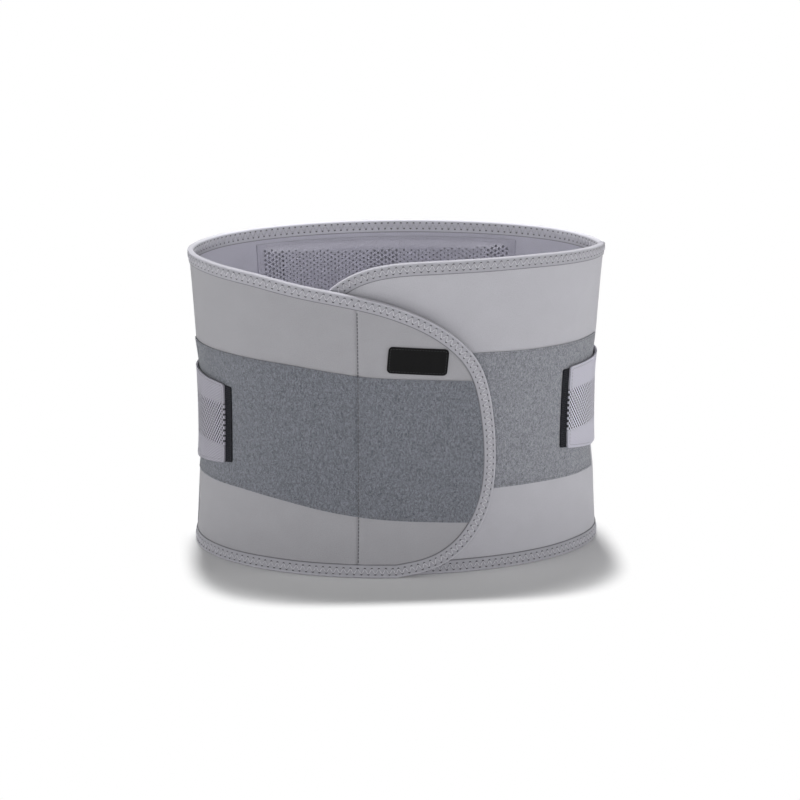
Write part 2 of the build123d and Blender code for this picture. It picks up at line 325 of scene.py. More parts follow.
def cut_cloth(outline: Path, cell: float, fine: Sequence[float] = (),
              keep: tuple[float, float] = WHOLE) -> bmesh.types.BMesh:
    """A flat sheet of cloth, cut to an outline and divided so that it can bend.

    Args:
        outline: the cut edge, as rows of s and z.
        cell: size of the divisions in millimetres.
        fine: further places along s at which to divide it.
        keep: stations between which the cloth is kept.

    Returns:
        The flat bmesh.
    """
    bm = bmesh.new()
    bm.faces.new([bm.verts.new((s, 0.0, z)) for s, z in outline])
    low, high = outline.min(0), outline.max(0)
    lines = [((s, 0, 0), (1, 0, 0)) for s in np.arange(low[0] + cell, high[0] - cell / 3, cell)]
    lines += [((s, 0, 0), (1, 0, 0)) for s in fine if low[0] < s < high[0]]
    lines += [((0, 0, z), (0, 0, 1)) for z in np.arange(low[1] + cell, high[1] - cell / 3, cell)]
    for side, station in ((-1, keep[0]), (1, keep[1])):
        slice_cloth(bm, (station, 0, 0), (side, 0, 0), clear=True)
    for point, normal in lines:
        slice_cloth(bm, point, normal)
    return bm


def slice_cloth(bm: bmesh.types.BMesh, point: tuple, normal: tuple, clear: bool = False) -> None:
    """Divides flat cloth along a plane, and takes away what lies past it where clear is True."""
    geometry = bm.verts[:] + bm.edges[:] + bm.faces[:]
    bmesh.ops.bisect_plane(bm, geom=geometry, plane_co=point, plane_no=normal, dist=1e-4, clear_outer=clear)


def thicken(bm: bmesh.types.BMesh, inner: float, outer: float) -> None:
    """Gives a flat sheet its thickness, from one offset to another."""
    bmesh.ops.translate(bm, verts=bm.verts, vec=(0, -outer, 0))
    grown = bmesh.ops.extrude_face_region(bm, geom=bm.faces[:])
    verts = [item for item in grown["geom"] if isinstance(item, bmesh.types.BMVert)]
    bmesh.ops.translate(bm, verts=verts, vec=(0, outer - inner, 0))


def relief(bm: bmesh.types.BMesh, rise: Callable[[float, float], float], above: float) -> None:
    """Raises or sinks the points that lie further out than an offset."""
    for vert in bm.verts:
        if -vert.co.y > above:
            vert.co.y -= rise(vert.co.x, vert.co.z)


def sweep_grid(bm: bmesh.types.BMesh, rows: np.ndarray, uvs: Optional[np.ndarray] = None) -> None:
    """Adds a grid of points as a surface.

    Args:
        bm: the bmesh to add to.
        rows: points as (along, across, 3).
        uvs: matching UVs as (along, across, 2), or None.
    """
    along, across = rows.shape[0] - 1, rows.shape[1] - 1
    made = bmesh.ops.create_grid(bm, x_segments=along, y_segments=across, size=1.0)["verts"]
    place = {}
    for vert in made:
        i = round((vert.co.x + 1) / 2 * along)
        j = round((vert.co.y + 1) / 2 * across)
        place[vert] = (i, j)
    if uvs is not None:
        layer = bm.loops.layers.uv.verify()
        for face in {face for vert in made for face in vert.link_faces}:
            for loop in face.loops:
                loop[layer].uv = uvs[place[loop.vert]]
    for vert, key in place.items():
        vert.co = rows[key]


def close_up(bm: bmesh.types.BMesh, gap: float = 1e-3) -> None:
    """Joins the doubled points of swept surfaces and fills their ends."""
    bmesh.ops.remove_doubles(bm, verts=bm.verts, dist=gap)
    open_edges = [edge for edge in bm.edges if edge.is_boundary]
    bmesh.ops.holes_fill(bm, edges=open_edges)


def swept_tape(path: Path, turn: float, profile: Sequence[tuple[float, float]]) -> bmesh.types.BMesh:
    """A flat tape folded along a path.

    Args:
        path: rows of s and z along the cloth's edge.
        turn: side of the path that the cloth is on.
        profile: closed section, as distances inwards from the edge and offsets.

    Returns:
        The flat bmesh, with UVs of distance along and distance in from the edge.
    """
    normals = inwards(path, turn)
    run = path_run(path)
    ring = list(profile) + [profile[0]]
    rows = np.zeros((len(path), len(ring), 3))
    uvs = np.zeros((len(path), len(ring), 2))
    for j, (depth, offset) in enumerate(ring):
        rows[:, j, 0] = path[:, 0] + normals[:, 0] * depth
        rows[:, j, 1] = -offset
        rows[:, j, 2] = path[:, 1] + normals[:, 1] * depth
        uvs[:, j, 0] = run
        uvs[:, j, 1] = depth
    bm = bmesh.new()
    sweep_grid(bm, rows, uvs)
    close_up(bm)
    return bm


def add_thread(bm: bmesh.types.BMesh, line: np.ndarray, radii: Sequence[float], sides: int = 5) -> None:
    """Adds one stitch to a flat bmesh.

    Args:
        bm: the bmesh to add to.
        line: rows of s, -n and z.
        radii: the thread's radius at each row.
        sides: faces round the thread.
    """
    along = np.gradient(line, axis=0)
    along /= np.maximum(np.sqrt((along ** 2).sum(1)), 1e-9)[:, None]
    sideways = np.cross(along, np.array([0.0, -1.0, 0.0]))
    sideways /= np.maximum(np.sqrt((sideways ** 2).sum(1)), 1e-9)[:, None]
    upwards = np.cross(sideways, along)
    rows = np.zeros((len(line), sides + 1, 3))
    for j in range(sides + 1):
        turn = 2 * math.pi * j / sides
        spread = sideways * math.cos(turn) + upwards * math.sin(turn) * 0.75
        rows[:, j] = line + spread * np.array(radii)[:, None]
    sweep_grid(bm, rows)


ZIGZAG_SHARES = np.array([0.0, 0.12, 0.5, 0.88, 1.0])
ZIGZAG_RISE = np.array([-0.3, 0.12, 0.22, 0.12, -0.3])
ZIGZAG_RADII = (0.2, 0.36, 0.42, 0.36, 0.2)
RUNNING_SHARES = np.array([0.08, 0.2, 0.5, 0.8, 0.92])
RUNNING_RISE = np.array([-0.22, 0.06, 0.14, 0.06, -0.22])
RUNNING_SHAPE = np.array([0.5, 0.9, 1, 0.9, 0.5])


def zigzag(path: Path, turn: float, near: float, far: float, pitch: float, top: float) -> bmesh.types.BMesh:
    """Zigzag sewing along a tape.

    Args:
        path: the tape's outer edge.
        turn: side of the path that the cloth is on.
        near: needle row nearest the edge, in from it.
        far: the other needle row.
        pitch: distance between holes of one row.
        top: offset of the tape's face. A face that looks inwards has a negative one.

    Returns:
        The flat bmesh of stitches.
    """
    count = int(path_run(path)[-1] / (pitch / 2))
    fine = resample(path, 1.0)
    normals = inwards(fine, turn)
    run = path_run(fine)
    holes = []
    for index in range(count + 1):
        at = index * pitch / 2
        depth = near if index % 2 else far
        base = [np.interp(at, run, fine[:, column]) for column in (0, 1)]
        square = [np.interp(at, run, normals[:, column]) for column in (0, 1)]
        holes.append((base[0] + square[0] * depth, base[1] + square[1] * depth))
    bm = bmesh.new()
    lift = math.copysign(1.0, top)
    for first, second in zip(holes[:-1], holes[1:]):
        heights = top + lift * ZIGZAG_RISE
        line = np.stack([first[0] + (second[0] - first[0]) * ZIGZAG_SHARES, -heights,
                         first[1] + (second[1] - first[1]) * ZIGZAG_SHARES], axis=1)
        add_thread(bm, line, ZIGZAG_RADII)
    close_up(bm, 1e-5)
    return bm


def running_stitches(path: Path, top: Callable[[float, float], float], pitch: float = 3.1,
                     radius: float = 0.24) -> bmesh.types.BMesh:
    """Straight sewing along a path, one short thread for each stitch.

    Args:
        path: the row's line, as s and z.
        top: offset of the face that it lies on, at a place.
        pitch: distance from stitch to stitch.
        radius: the thread's radius.

    Returns:
        The flat bmesh of stitches.
    """
    run = path_run(path)
    bm = bmesh.new()
    for index in range(int(run[-1] / pitch)):
        at = (index + RUNNING_SHARES) * pitch
        s = np.interp(at, run, path[:, 0])
        z = np.interp(at, run, path[:, 1])
        heights = np.array([top(a, b) for a, b in zip(s, z)]) + RUNNING_RISE
        add_thread(bm, np.stack([s, -heights, z], axis=1), RUNNING_SHAPE * radius)
    close_up(bm, 1e-5)
    return bm


# ------------------------------------------------------------------ shader building

class Tree:
    """A node tree with short ways to add and join nodes."""

    def __init__(self, tree: bpy.types.NodeTree) -> None:
        """Keeps the tree that nodes are added to."""
        self.tree = tree

    def add(self, kind: str, values: Optional[dict] = None, **settings: object) -> bpy.types.Node:
        """Adds a node.

        Args:
            kind: the node's type name.
            values: input name or number to a constant, or to a socket to link from.
            settings: attributes of the node.

        Returns:
            The node.
        """
        node = self.tree.nodes.new(kind)
        for key, value in settings.items():
            setattr(node, key, value)
        for key, value in (values or {}).items():
            if isinstance(value, bpy.types.NodeSocket):
                self.tree.links.new(value, node.inputs[key])
            else:
                node.inputs[key].default_value = value
        return node

    def math(self, operation: str, first: object, second: object = 0.0) -> bpy.types.NodeSocket:
        """The output of a math node."""
        return self.add("ShaderNodeMath", {0: first, 1: second}, operation=operation).outputs[0]

    def mix(self, share: object, first: object, second: object, blend: str = "MIX") -> bpy.types.NodeSocket:
        """The output of a colour mix node."""
        node = self.add("ShaderNodeMix", data_type="RGBA", blend_type=blend)
        for key, value in ((0, share), (6, first), (7, second)):
            if isinstance(value, bpy.types.NodeSocket):
                self.tree.links.new(value, node.inputs[key])
            else:
                node.inputs[key].default_value = value
        return node.outputs[2]

    def noise(self, vector: object, scale: float, detail: float = 2.0,
              rough: float = 0.5) -> bpy.types.NodeSocket:
        """The value of a noise texture."""
        values = {"Vector": vector, "Scale": scale, "Detail": detail, "Roughness": rough}
        return self.add("ShaderNodeTexNoise", values).outputs[0]

    def span(self, value: object, low: float, high: float, to_low: float = 0.0,
             to_high: float = 1.0) -> bpy.types.NodeSocket:
        """A value mapped smoothly from one range to another."""
        values = {0: value, 1: low, 2: high, 3: to_low, 4: to_high}
        return self.add("ShaderNodeMapRange", values, interpolation_type="SMOOTHSTEP").outputs[0]


def new_group(name: str, inputs: dict, outputs: dict) -> tuple[bpy.types.NodeTree, Tree, object, object]:
    """Starts a shader node group.

    Args:
        name: the group's name.
        inputs: input name to socket type, with a default for a float.
        outputs: output name to socket type.

    Returns:
        The group, its tree helper, and the sockets of its input and output nodes.
    """
    group = bpy.data.node_groups.new(name, "ShaderNodeTree")
    for key, (kind, default) in inputs.items():
        socket = group.interface.new_socket(name=key, in_out="INPUT", socket_type=kind)
        if default is not None:
            socket.default_value = default
    for key, kind in outputs.items():
        group.interface.new_socket(name=key, in_out="OUTPUT", socket_type=kind)
    tree = Tree(group)
    return group, tree, tree.add("NodeGroupInput").outputs, tree.add("NodeGroupOutput").inputs


FLOAT, VECTOR = "NodeSocketFloat", "NodeSocketVector"
FULL_TURN = 6.2832


def knit_group() -> bpy.types.NodeTree:
    """Rows of small knitted loops, with uneven yarn."""
    inputs = {"Vector": (VECTOR, None), "Cell": (FLOAT, 1.2), "Relief": (FLOAT, 0.16)}
    group, tree, given, out = new_group("knit_rows", inputs, {"Height": FLOAT, "Unevenness": FLOAT})
    parts = tree.add("ShaderNodeSeparateXYZ", {0: given["Vector"]}).outputs
    turns = tree.math("DIVIDE", FULL_TURN, given["Cell"])
    wobble = tree.noise(given["Vector"], 0.35, 2.0)
    across = tree.math("MULTIPLY", parts[0], turns)
    across = tree.math("ADD", across, tree.math("MULTIPLY", wobble, 1.4))
    up = tree.math("MULTIPLY", parts[1], turns)
    loops = tree.math("MULTIPLY", tree.math("SINE", across), tree.math("SINE", tree.math("ADD", up, across)))
    fuzz = tree.noise(given["Vector"], 1.3, 4.0, 0.7)
    height = tree.math("ADD", tree.math("MULTIPLY", loops, given["Relief"]), fuzz)
    tree.tree.links.new(height, out["Height"])
    tree.tree.links.new(tree.noise(given["Vector"], 0.045, 3.0, 0.55), out["Unevenness"])
    return group


def pile_group() -> bpy.types.NodeTree:
    """Brushed loop pile: small curls that lie in drifts."""
    inputs = {"Vector": (VECTOR, None), "Curl": (FLOAT, 0.55)}
    group, tree, given, out = new_group("brushed_pile", inputs, {"Height": FLOAT, "Shade": FLOAT})
    drift = tree.add("ShaderNodeTexNoise", {"Vector": given["Vector"], "Scale": 0.12, "Detail": 2.0}).outputs[1]
    pull = tree.add("ShaderNodeVectorMath", {0: drift}, operation="SCALE")
    pull.inputs["Scale"].default_value = 6.0
    bent = tree.add("ShaderNodeVectorMath", {0: given["Vector"], 1: pull.outputs[0]},
                    operation="ADD").outputs[0]
    squeezed = tree.add("ShaderNodeMapping", {"Vector": bent, "Scale": (1.0, 0.5, 1.0)}).outputs[0]
    curls = tree.add("ShaderNodeTexNoise", {"Vector": squeezed, "Scale": given["Curl"], "Detail": 4.0,
                                            "Roughness": 0.7, "Distortion": 0.7}).outputs[0]
    hairs = tree.noise(bent, 2.2, 3.0, 0.7)
    tufts = tree.add("ShaderNodeTexVoronoi", {"Vector": bent, "Scale": 0.42, "Randomness": 1.0}).outputs[0]
    height = tree.math("ADD", curls, tree.math("MULTIPLY", hairs, 0.45))
    height = tree.math("ADD", height, tree.math("MULTIPLY", tufts, -0.25))
    tree.tree.links.new(height, out["Height"])
    mixed = tree.math("ADD", tree.math("MULTIPLY", curls, 0.5), tree.math("MULTIPLY", hairs, 0.5))
    tree.tree.links.new(mixed, out["Shade"])
    return group


def needle_group() -> bpy.types.NodeTree:
    """Dark needle holes in two staggered rows, on UVs of distance along and in from an edge."""
    inputs = {"Vector": (VECTOR, None), "Pitch": (FLOAT, 5.2), "Near": (FLOAT, 2.9), "Far": (FLOAT, 7.3),
              "Radius": (FLOAT, 1.05)}
    group, tree, given, out = new_group("needle_holes", inputs, {"Mask": FLOAT})
    parts = tree.add("ShaderNodeSeparateXYZ", {0: given["Vector"]}).outputs
    masks = []
    for row, shift in (("Far", 0.0), ("Near", 0.5)):
        share = tree.math("ADD", tree.math("DIVIDE", parts[0], given["Pitch"]), shift + 0.5)
        along = tree.math("MULTIPLY", tree.math("SUBTRACT", tree.math("FRACT", share), 0.5), given["Pitch"])
        across = tree.math("SUBTRACT", parts[1], given[row])
        square = tree.math("ADD", tree.math("MULTIPLY", along, along), tree.math("MULTIPLY", across, across))
        away = tree.math("DIVIDE", tree.math("SQRT", square), given["Radius"])
        masks.append(tree.span(away, 0.45, 1.0, 1.0, 0.0))
    tree.tree.links.new(tree.math("MAXIMUM", masks[0], masks[1]), out["Mask"])
    return group


class Effect(Enum):
    """The shared surface effects."""

    KNIT = "knit"
    PILE = "pile"
    NEEDLES = "needles"


GROUPS = {Effect.KNIT: knit_group(), Effect.PILE: pile_group(), Effect.NEEDLES: needle_group()}


def start_material(name: str) -> tuple[bpy.types.Material, Tree, bpy.types.Node]:
    """A new material with its tree and its Principled shader."""
    material = bpy.data.materials.new(name)
    material.use_nodes = True
    tree = Tree(material.node_tree)
    return material, tree, material.node_tree.nodes["Principled BSDF"]


def grey(value: float) -> tuple[float, float, float, float]:
    """A neutral colour."""
    return value, value, value, 1.0


def shaded(colour: Colour, factor: float) -> tuple[float, float, float, float]:
    """A colour made darker or lighter."""
    return colour[0] * factor, colour[1] * factor, colour[2] * factor, 1.0


def painted_light_along_cloth(tree: Tree, uv: object, colour: object, painted_light_stops: Sequence[tuple[float, float]]) -> object:
    """Changes a colour little by little along the cloth: painted light and shade, which fades a lit copy of a
    finish towards the shade of the rest.

    Args:
        tree: the material's tree.
        uv: the piece's UVs, in millimetres.
        colour: the colour to change.
        painted_light_stops: distances round the waist, rising, each with the share of the colour there.

    Returns:
        The changed colour, or the colour itself where there are no stops.
    """
    if not painted_light_stops:
        return colour
    s = tree.add("ShaderNodeSeparateXYZ", {0: uv}).outputs[0]
    share = painted_light_stops[0][1]
    for (near, first), (far, second) in zip(painted_light_stops, painted_light_stops[1:]):
        share = tree.math("ADD", tree.span(s, near, far, 0.0, second - first), share)
    return tree.mix(1.0, colour, share, blend="MULTIPLY")


def place_group(tree: Tree, effect: Effect, **values: object) -> bpy.types.Node:
    """Places a shared effect in a material, with its own values."""
    node = tree.add("ShaderNodeGroup", node_tree=GROUPS[effect])
    for name, value in values.items():
        if isinstance(value, bpy.types.NodeSocket):
            tree.tree.links.new(value, node.inputs[name])
        else:
            node.inputs[name].default_value = value
    return node


def add_bump(tree: Tree, shader: bpy.types.Node, height: object, depth: float, strength: float = 1.0) -> None:
    """Feeds a height, in units of depth millimetres, to a shader's normal."""
    bump = tree.add("ShaderNodeBump", {"Height": height, "Strength": strength, "Distance": depth * MM})
    tree.tree.links.new(bump.outputs[0], shader.inputs["Normal"])


@dataclass(frozen=True)
class KnitFinish:
    """Smooth knitted cloth.

    Sizes are in millimetres and colours are linear.
    """

    name: str
    colour: Colour
    cell: float = 0.9
    depth: float = 0.26
    mottle: float = 0.10
    roughness: float = 0.92
    sheen: float = 0.25
    # Painted light and shade along the cloth, as shares of the colour at distances.
    painted_light_stops: tuple[tuple[float, float], ...] = ()

    def material(self) -> bpy.types.Material:
        """Builds the material."""
        material, tree, shader = start_material(self.name)
        uv = tree.add("ShaderNodeUVMap").outputs[0]
        knit = place_group(tree, Effect.KNIT, Vector=uv, Cell=self.cell)
        base = tree.mix(knit.outputs["Unevenness"], shaded(self.colour, 1 - self.mottle),
                        shaded(self.colour, 1 + self.mottle))
        # Painted shade: the knit's low places between loops are darkened a little.
        dip_shade = tree.span(knit.outputs["Height"], 0.25, 0.6)
        base = tree.mix(dip_shade, tree.mix(0.16, base, grey(0.0)), base)
        tree.tree.links.new(painted_light_along_cloth(tree, uv, base, self.painted_light_stops), shader.inputs["Base Color"])
        rough = tree.span(knit.outputs["Unevenness"], 0.2, 0.8, self.roughness - 0.06, self.roughness + 0.04)
        tree.tree.links.new(rough, shader.inputs["Roughness"])
        shader.inputs["Sheen Weight"].default_value = self.sheen
        shader.inputs["Sheen Roughness"].default_value = 0.5
        shader.inputs["Specular IOR Level"].default_value = 0.25
        add_bump(tree, shader, knit.outputs["Height"], self.depth)
        return material


@dataclass(frozen=True)
class PileFinish:
    """Brushed loop pile, which hooks grip."""

    name: str
    dark: Colour
    light: Colour
    curl: float = 0.8
    depth: float = 0.8

    def material(self) -> bpy.types.Material:
        """Builds the material."""
        material, tree, shader = start_material(self.name)
        uv = tree.add("ShaderNodeUVMap").outputs[0]
        pile = place_group(tree, Effect.PILE, Vector=uv, Curl=self.curl)
        share = tree.span(pile.outputs["Shade"], 0.395, 0.605)
        colour = tree.mix(share, (*self.dark, 1.0), (*self.light, 1.0))
        tree.tree.links.new(colour, shader.inputs["Base Color"])
        tree.tree.links.new(tree.span(pile.outputs["Shade"], 0.2, 0.8, 0.98, 0.86), shader.inputs["Roughness"])
        shader.inputs["Sheen Weight"].default_value = 0.35
        shader.inputs["Sheen Roughness"].default_value = 0.4
        shader.inputs["Specular IOR Level"].default_value = 0.2
        add_bump(tree, shader, pile.outputs["Height"], self.depth)
        return material


@dataclass(frozen=True)
class TapeFinish:
    """Elastic binding tape with its zigzag needle holes."""

    name: str
    colour: Colour
    width: float = 10.5
    pitch: float = 5.2
    # Painted light and shade along the tape, as shares of the colour at distances.
    painted_light_stops: tuple[tuple[float, float], ...] = ()

    def material(self) -> bpy.types.Material:
        """Builds the material."""
        material, tree, shader = start_material(self.name)
        uv = tree.add("ShaderNodeUVMap").outputs[0]
        knit = place_group(tree, Effect.KNIT, Vector=uv, Cell=0.9)
        holes = place_group(tree, Effect.NEEDLES, Vector=uv, Pitch=self.pitch)
        across = tree.add("ShaderNodeSeparateXYZ", {0: uv}).outputs[1]
        # Painted shadow: a dark line along the tape's inner edge, where it steps down to the cloth.
        edge = tree.span(across, self.width - 1.1, self.width - 0.1)
        # Painted highlight: the tape's folded outer edge is made lighter.
        rim = tree.span(across, 0.6, 2.0, 1.0, 0.0)
        base = tree.mix(knit.outputs["Unevenness"], shaded(self.colour, 0.93), shaded(self.colour, 1.06))
        base = tree.mix(rim, base, shaded(self.colour, 1.3))
        base = tree.mix(edge, base, shaded(self.colour, 0.4))
        base = tree.mix(tree.math("MULTIPLY", holes.outputs["Mask"], 0.92), base, shaded(self.colour, 0.14))
        tree.tree.links.new(painted_light_along_cloth(tree, uv, base, self.painted_light_stops), shader.inputs["Base Color"])
        roughness = tree.span(knit.outputs["Unevenness"], 0.2, 0.8, 0.8, 0.92)
        tree.tree.links.new(roughness, shader.inputs["Roughness"])
        shader.inputs["Sheen Weight"].default_value = 0.2
        shader.inputs["Specular IOR Level"].default_value = 0.3
        surface = tree.math("MULTIPLY", knit.outputs["Height"], 0.25)
        height = tree.math("SUBTRACT", surface, holes.outputs["Mask"])
        add_bump(tree, shader, height, 0.5)
        return material


@dataclass(frozen=True)
class WebbingFinish:
    """Elastic webbing: fine ribs along it, and an open diamond knit along its middle."""

    name: str
    colour: Colour
    middle: tuple[float, float] = (20.0, 54.0)
    diamond: tuple[float, float] = (3.1, 4.3)
    rib: float = 1.3
    open_knit: bool = True
    # Painted light and shade along the webbing, as shares of the colour at distances.
    painted_light_stops: tuple[tuple[float, float], ...] = ()

    def material(self) -> bpy.types.Material:
        """Builds the material."""
        material, tree, shader = start_material(self.name)
        uv = tree.add("ShaderNodeUVMap").outputs[0]
        parts = tree.add("ShaderNodeSeparateXYZ", {0: uv}).outputs
        ribs = tree.math("SINE", tree.math("MULTIPLY", parts[1], FULL_TURN / self.rib))
        yarn = tree.noise(uv, 1.4, 3.0, 0.6)
        base = tree.mix(yarn, shaded(self.colour, 0.9), shaded(self.colour, 1.08))
        height = tree.math("ADD", tree.math("MULTIPLY", ribs, 0.35), yarn)
        if self.open_knit:
            u = tree.math("DIVIDE", parts[0], self.diamond[0])
            v = tree.math("DIVIDE", parts[1], self.diamond[1])
            first = tree.math("SINE", tree.math("MULTIPLY", tree.math("ADD", u, v), math.pi))
            second = tree.math("SINE", tree.math("MULTIPLY", tree.math("SUBTRACT", u, v), math.pi))
            gaps = tree.math("ABSOLUTE", tree.math("MULTIPLY", first, second))
            in_band = tree.math("MULTIPLY", tree.span(parts[1], self.middle[0] - 1, self.middle[0] + 1),
                                tree.span(parts[1], self.middle[1] - 1, self.middle[1] + 1, 1.0, 0.0))
            hole = tree.math("MULTIPLY", tree.span(gaps, 0.3, 0.55), in_band)
            base = tree.mix(tree.math("MULTIPLY", in_band, 0.8), base, shaded(self.colour, 1.5))
            base = tree.mix(hole, base, shaded(self.colour, 0.12))
            height = tree.math("SUBTRACT", height, tree.math("MULTIPLY", hole, 2.0))
        tree.tree.links.new(painted_light_along_cloth(tree, uv, base, self.painted_light_stops), shader.inputs["Base Color"])
        tree.tree.links.new(tree.span(yarn, 0.2, 0.8, 0.78, 0.92), shader.inputs["Roughness"])
        shader.inputs["Sheen Weight"].default_value = 0.2
        shader.inputs["Specular IOR Level"].default_value = 0.3
        add_bump(tree, shader, height, 0.3)
        return material


@dataclass(frozen=True)
class HookFinish:
    """Black hook tape, a field of tiny moulded hooks."""

    name: str = "hook_tape"
    colour: Colour = (0.007, 0.0075, 0.011)
    pitch: float = 1.6

    def material(self) -> bpy.types.Material:
        """Builds the material."""
        material, tree, shader = start_material(self.name)
        uv = tree.add("ShaderNodeUVMap").outputs[0]
        cells = {"Vector": uv, "Scale": 1 / self.pitch, "Randomness": 0.25}
        dots = tree.add("ShaderNodeTexVoronoi", cells).outputs[0]
        tip_bump_and_glint = tree.span(dots, 0.1, 0.45, 1.0, 0.0)
        # Painted highlight: the hook tips are lighter than the tape; the same mask raises them in the bump.
        colour = tree.mix(tip_bump_and_glint, (*self.colour, 1.0), shaded(self.colour, 3.0))
        tree.tree.links.new(colour, shader.inputs["Base Color"])
        tree.tree.links.new(tree.span(dots, 0.1, 0.5, 0.42, 0.7), shader.inputs["Roughness"])
        shader.inputs["Specular IOR Level"].default_value = 0.2
        add_bump(tree, shader, tip_bump_and_glint, 0.5)
        return material


@dataclass(frozen=True)
class PlainFinish:
    """A part of one stuff, with grain and small wear: thread, label, steel or moulded plastic."""

    name: str
    colour: Colour
    roughness: float = 0.6
    metallic: float = 0.0
    grain: float = 2.0
    depth: float = 0.05
    stretch: tuple[float, float, float] = (1.0, 1.0, 1.0)
    spread: float = 0.08
    shine: float = 0.5

    def material(self) -> bpy.types.Material:
        """Builds the material."""
        material, tree, shader = start_material(self.name)
        place = tree.add("ShaderNodeTexCoord").outputs["Object"]
        scale = tuple(1000 * k for k in self.stretch)
        scaled = tree.add("ShaderNodeMapping", {"Vector": place, "Scale": scale})
        grain = tree.noise(scaled.outputs[0], self.grain, 4.0, 0.6)
        colour = tree.mix(grain, shaded(self.colour, 1 - self.spread), shaded(self.colour, 1 + self.spread))
        tree.tree.links.new(colour, shader.inputs["Base Color"])
        rough = tree.span(grain, 0.2, 0.8, self.roughness - 0.1, min(1.0, self.roughness + 0.1))
        tree.tree.links.new(rough, shader.inputs["Roughness"])
        shader.inputs["Metallic"].default_value = self.metallic
        shader.inputs["Specular IOR Level"].default_value = self.shine
        add_bump(tree, shader, grain, self.depth)
        return material


class Finishes:
    """Every finish of the belt, each built once."""

    def __init__(self) -> None:
        """Builds the materials."""
        self.outer = KnitFinish("outer_fabric", (0.385, 0.381, 0.406), mottle=0.06).material()
        # Painted light: the under wing's fabric is a lighter, lit copy of the outer fabric.
        self.under = KnitFinish("lit_under_fabric", (0.510, 0.505, 0.545), mottle=0.06).material()
        # Painted light: the back's outer cloth starts as the under wing's lit copy at the left side seam and
        # fades to the outer fabric's shade towards the right side seam.
        self.side = KnitFinish("side_fabric_painted_light", (0.510, 0.505, 0.545), mottle=0.06,
                               painted_light_stops=((LEFT_SEAM_S, 1.0), (BACK_END, 0.75))).material()
        self.lining = KnitFinish("lining", (0.64, 0.63, 0.71), cell=0.8, mottle=0.05).material()
        self.pile = PileFinish("loop_pile", (0.100, 0.107, 0.126), (0.265, 0.278, 0.315)).material()
        # Painted light: the under wing's loop pile is a lighter, lit copy of the loop pile.
        self.lit_under_pile = PileFinish("lit_under_loop_pile", (0.155, 0.161, 0.184), (0.385, 0.395, 0.435)).material()
        self.tape = TapeFinish("binding_tape", (0.385, 0.381, 0.418)).material()
        # Painted light: the back's top tape is a lit copy of the binding tape, lighter where it is seen inside
        # the back and faded to the binding tape's shade at both side seams.
        self.back_tape = TapeFinish(
            "back_binding_tape_painted_light", (0.60, 0.595, 0.645),
            painted_light_stops=((0.0, 0.65), (90.0, 1.0), (360.0, 1.0), (450.0, 0.65))).material()
        self.strap = WebbingFinish("strap_webbing", (0.355, 0.345, 0.40)).material()
        # Painted light: the back's strap webbing starts as the left strap's lit copy at the left side seam and
        # fades to the right strap's shade towards the right side seam.
        self.strap_back = WebbingFinish("strap_webbing_back_painted_light", (0.53, 0.52, 0.60),
                                        painted_light_stops=((LEFT_SEAM_S, 1.0), (BACK_END, 0.67))).material()
        # Painted light: the left strap is a lighter, lit copy of the strap webbing.
        self.left_strap = WebbingFinish("lit_left_strap_webbing", (0.53, 0.52, 0.60)).material()
        self.patch = WebbingFinish("anchor_webbing", (0.36, 0.355, 0.385), open_knit=False).material()
        self.sleeve = WebbingFinish("sleeve_tape", (0.30, 0.30, 0.33), open_knit=False).material()
        self.mesh = KnitFinish("lumbar_mesh", (0.575, 0.565, 0.645), cell=0.7, mottle=0.05).material()
        self.pad = KnitFinish("foam_pad", (0.42, 0.41, 0.47), cell=1.4, mottle=0.06).material()
        self.hook = HookFinish().material()
        self.label = PlainFinish("label", (0.006, 0.006, 0.0065), roughness=0.75, grain=1.2,
                                 shine=0.15).material()
        self.thread = PlainFinish("thread", (0.54, 0.535, 0.575), roughness=0.7, grain=3.0).material()
        self.lilac_thread = PlainFinish("lilac_thread", (0.50, 0.49, 0.56), roughness=0.7, grain=3.0).material()
        self.strap_thread = PlainFinish("strap_thread", (0.30, 0.295, 0.33), roughness=0.7, grain=3.0).material()
        self.dark_thread = PlainFinish("dark_thread", (0.03, 0.03, 0.033), roughness=0.7, grain=3.0).material()
        self.grey_thread = PlainFinish("grey_thread", (0.20, 0.20, 0.22), roughness=0.7, grain=3.0).material()
        self.seam_thread = PlainFinish("seam_thread", (0.12, 0.12, 0.13), roughness=0.8, grain=3.0).material()
        self.steel = PlainFinish("spring_steel", (0.6, 0.61, 0.63), roughness=0.32, metallic=1.0, grain=1.5,
                                 depth=0.01, stretch=(4.0, 4.0, 0.12)).material()
        self.cap = PlainFinish("cap_plastic", (0.03, 0.03, 0.033), roughness=0.45, grain=0.8).material()


# ------------------------------------------------------------------ fitting pieces to bodies

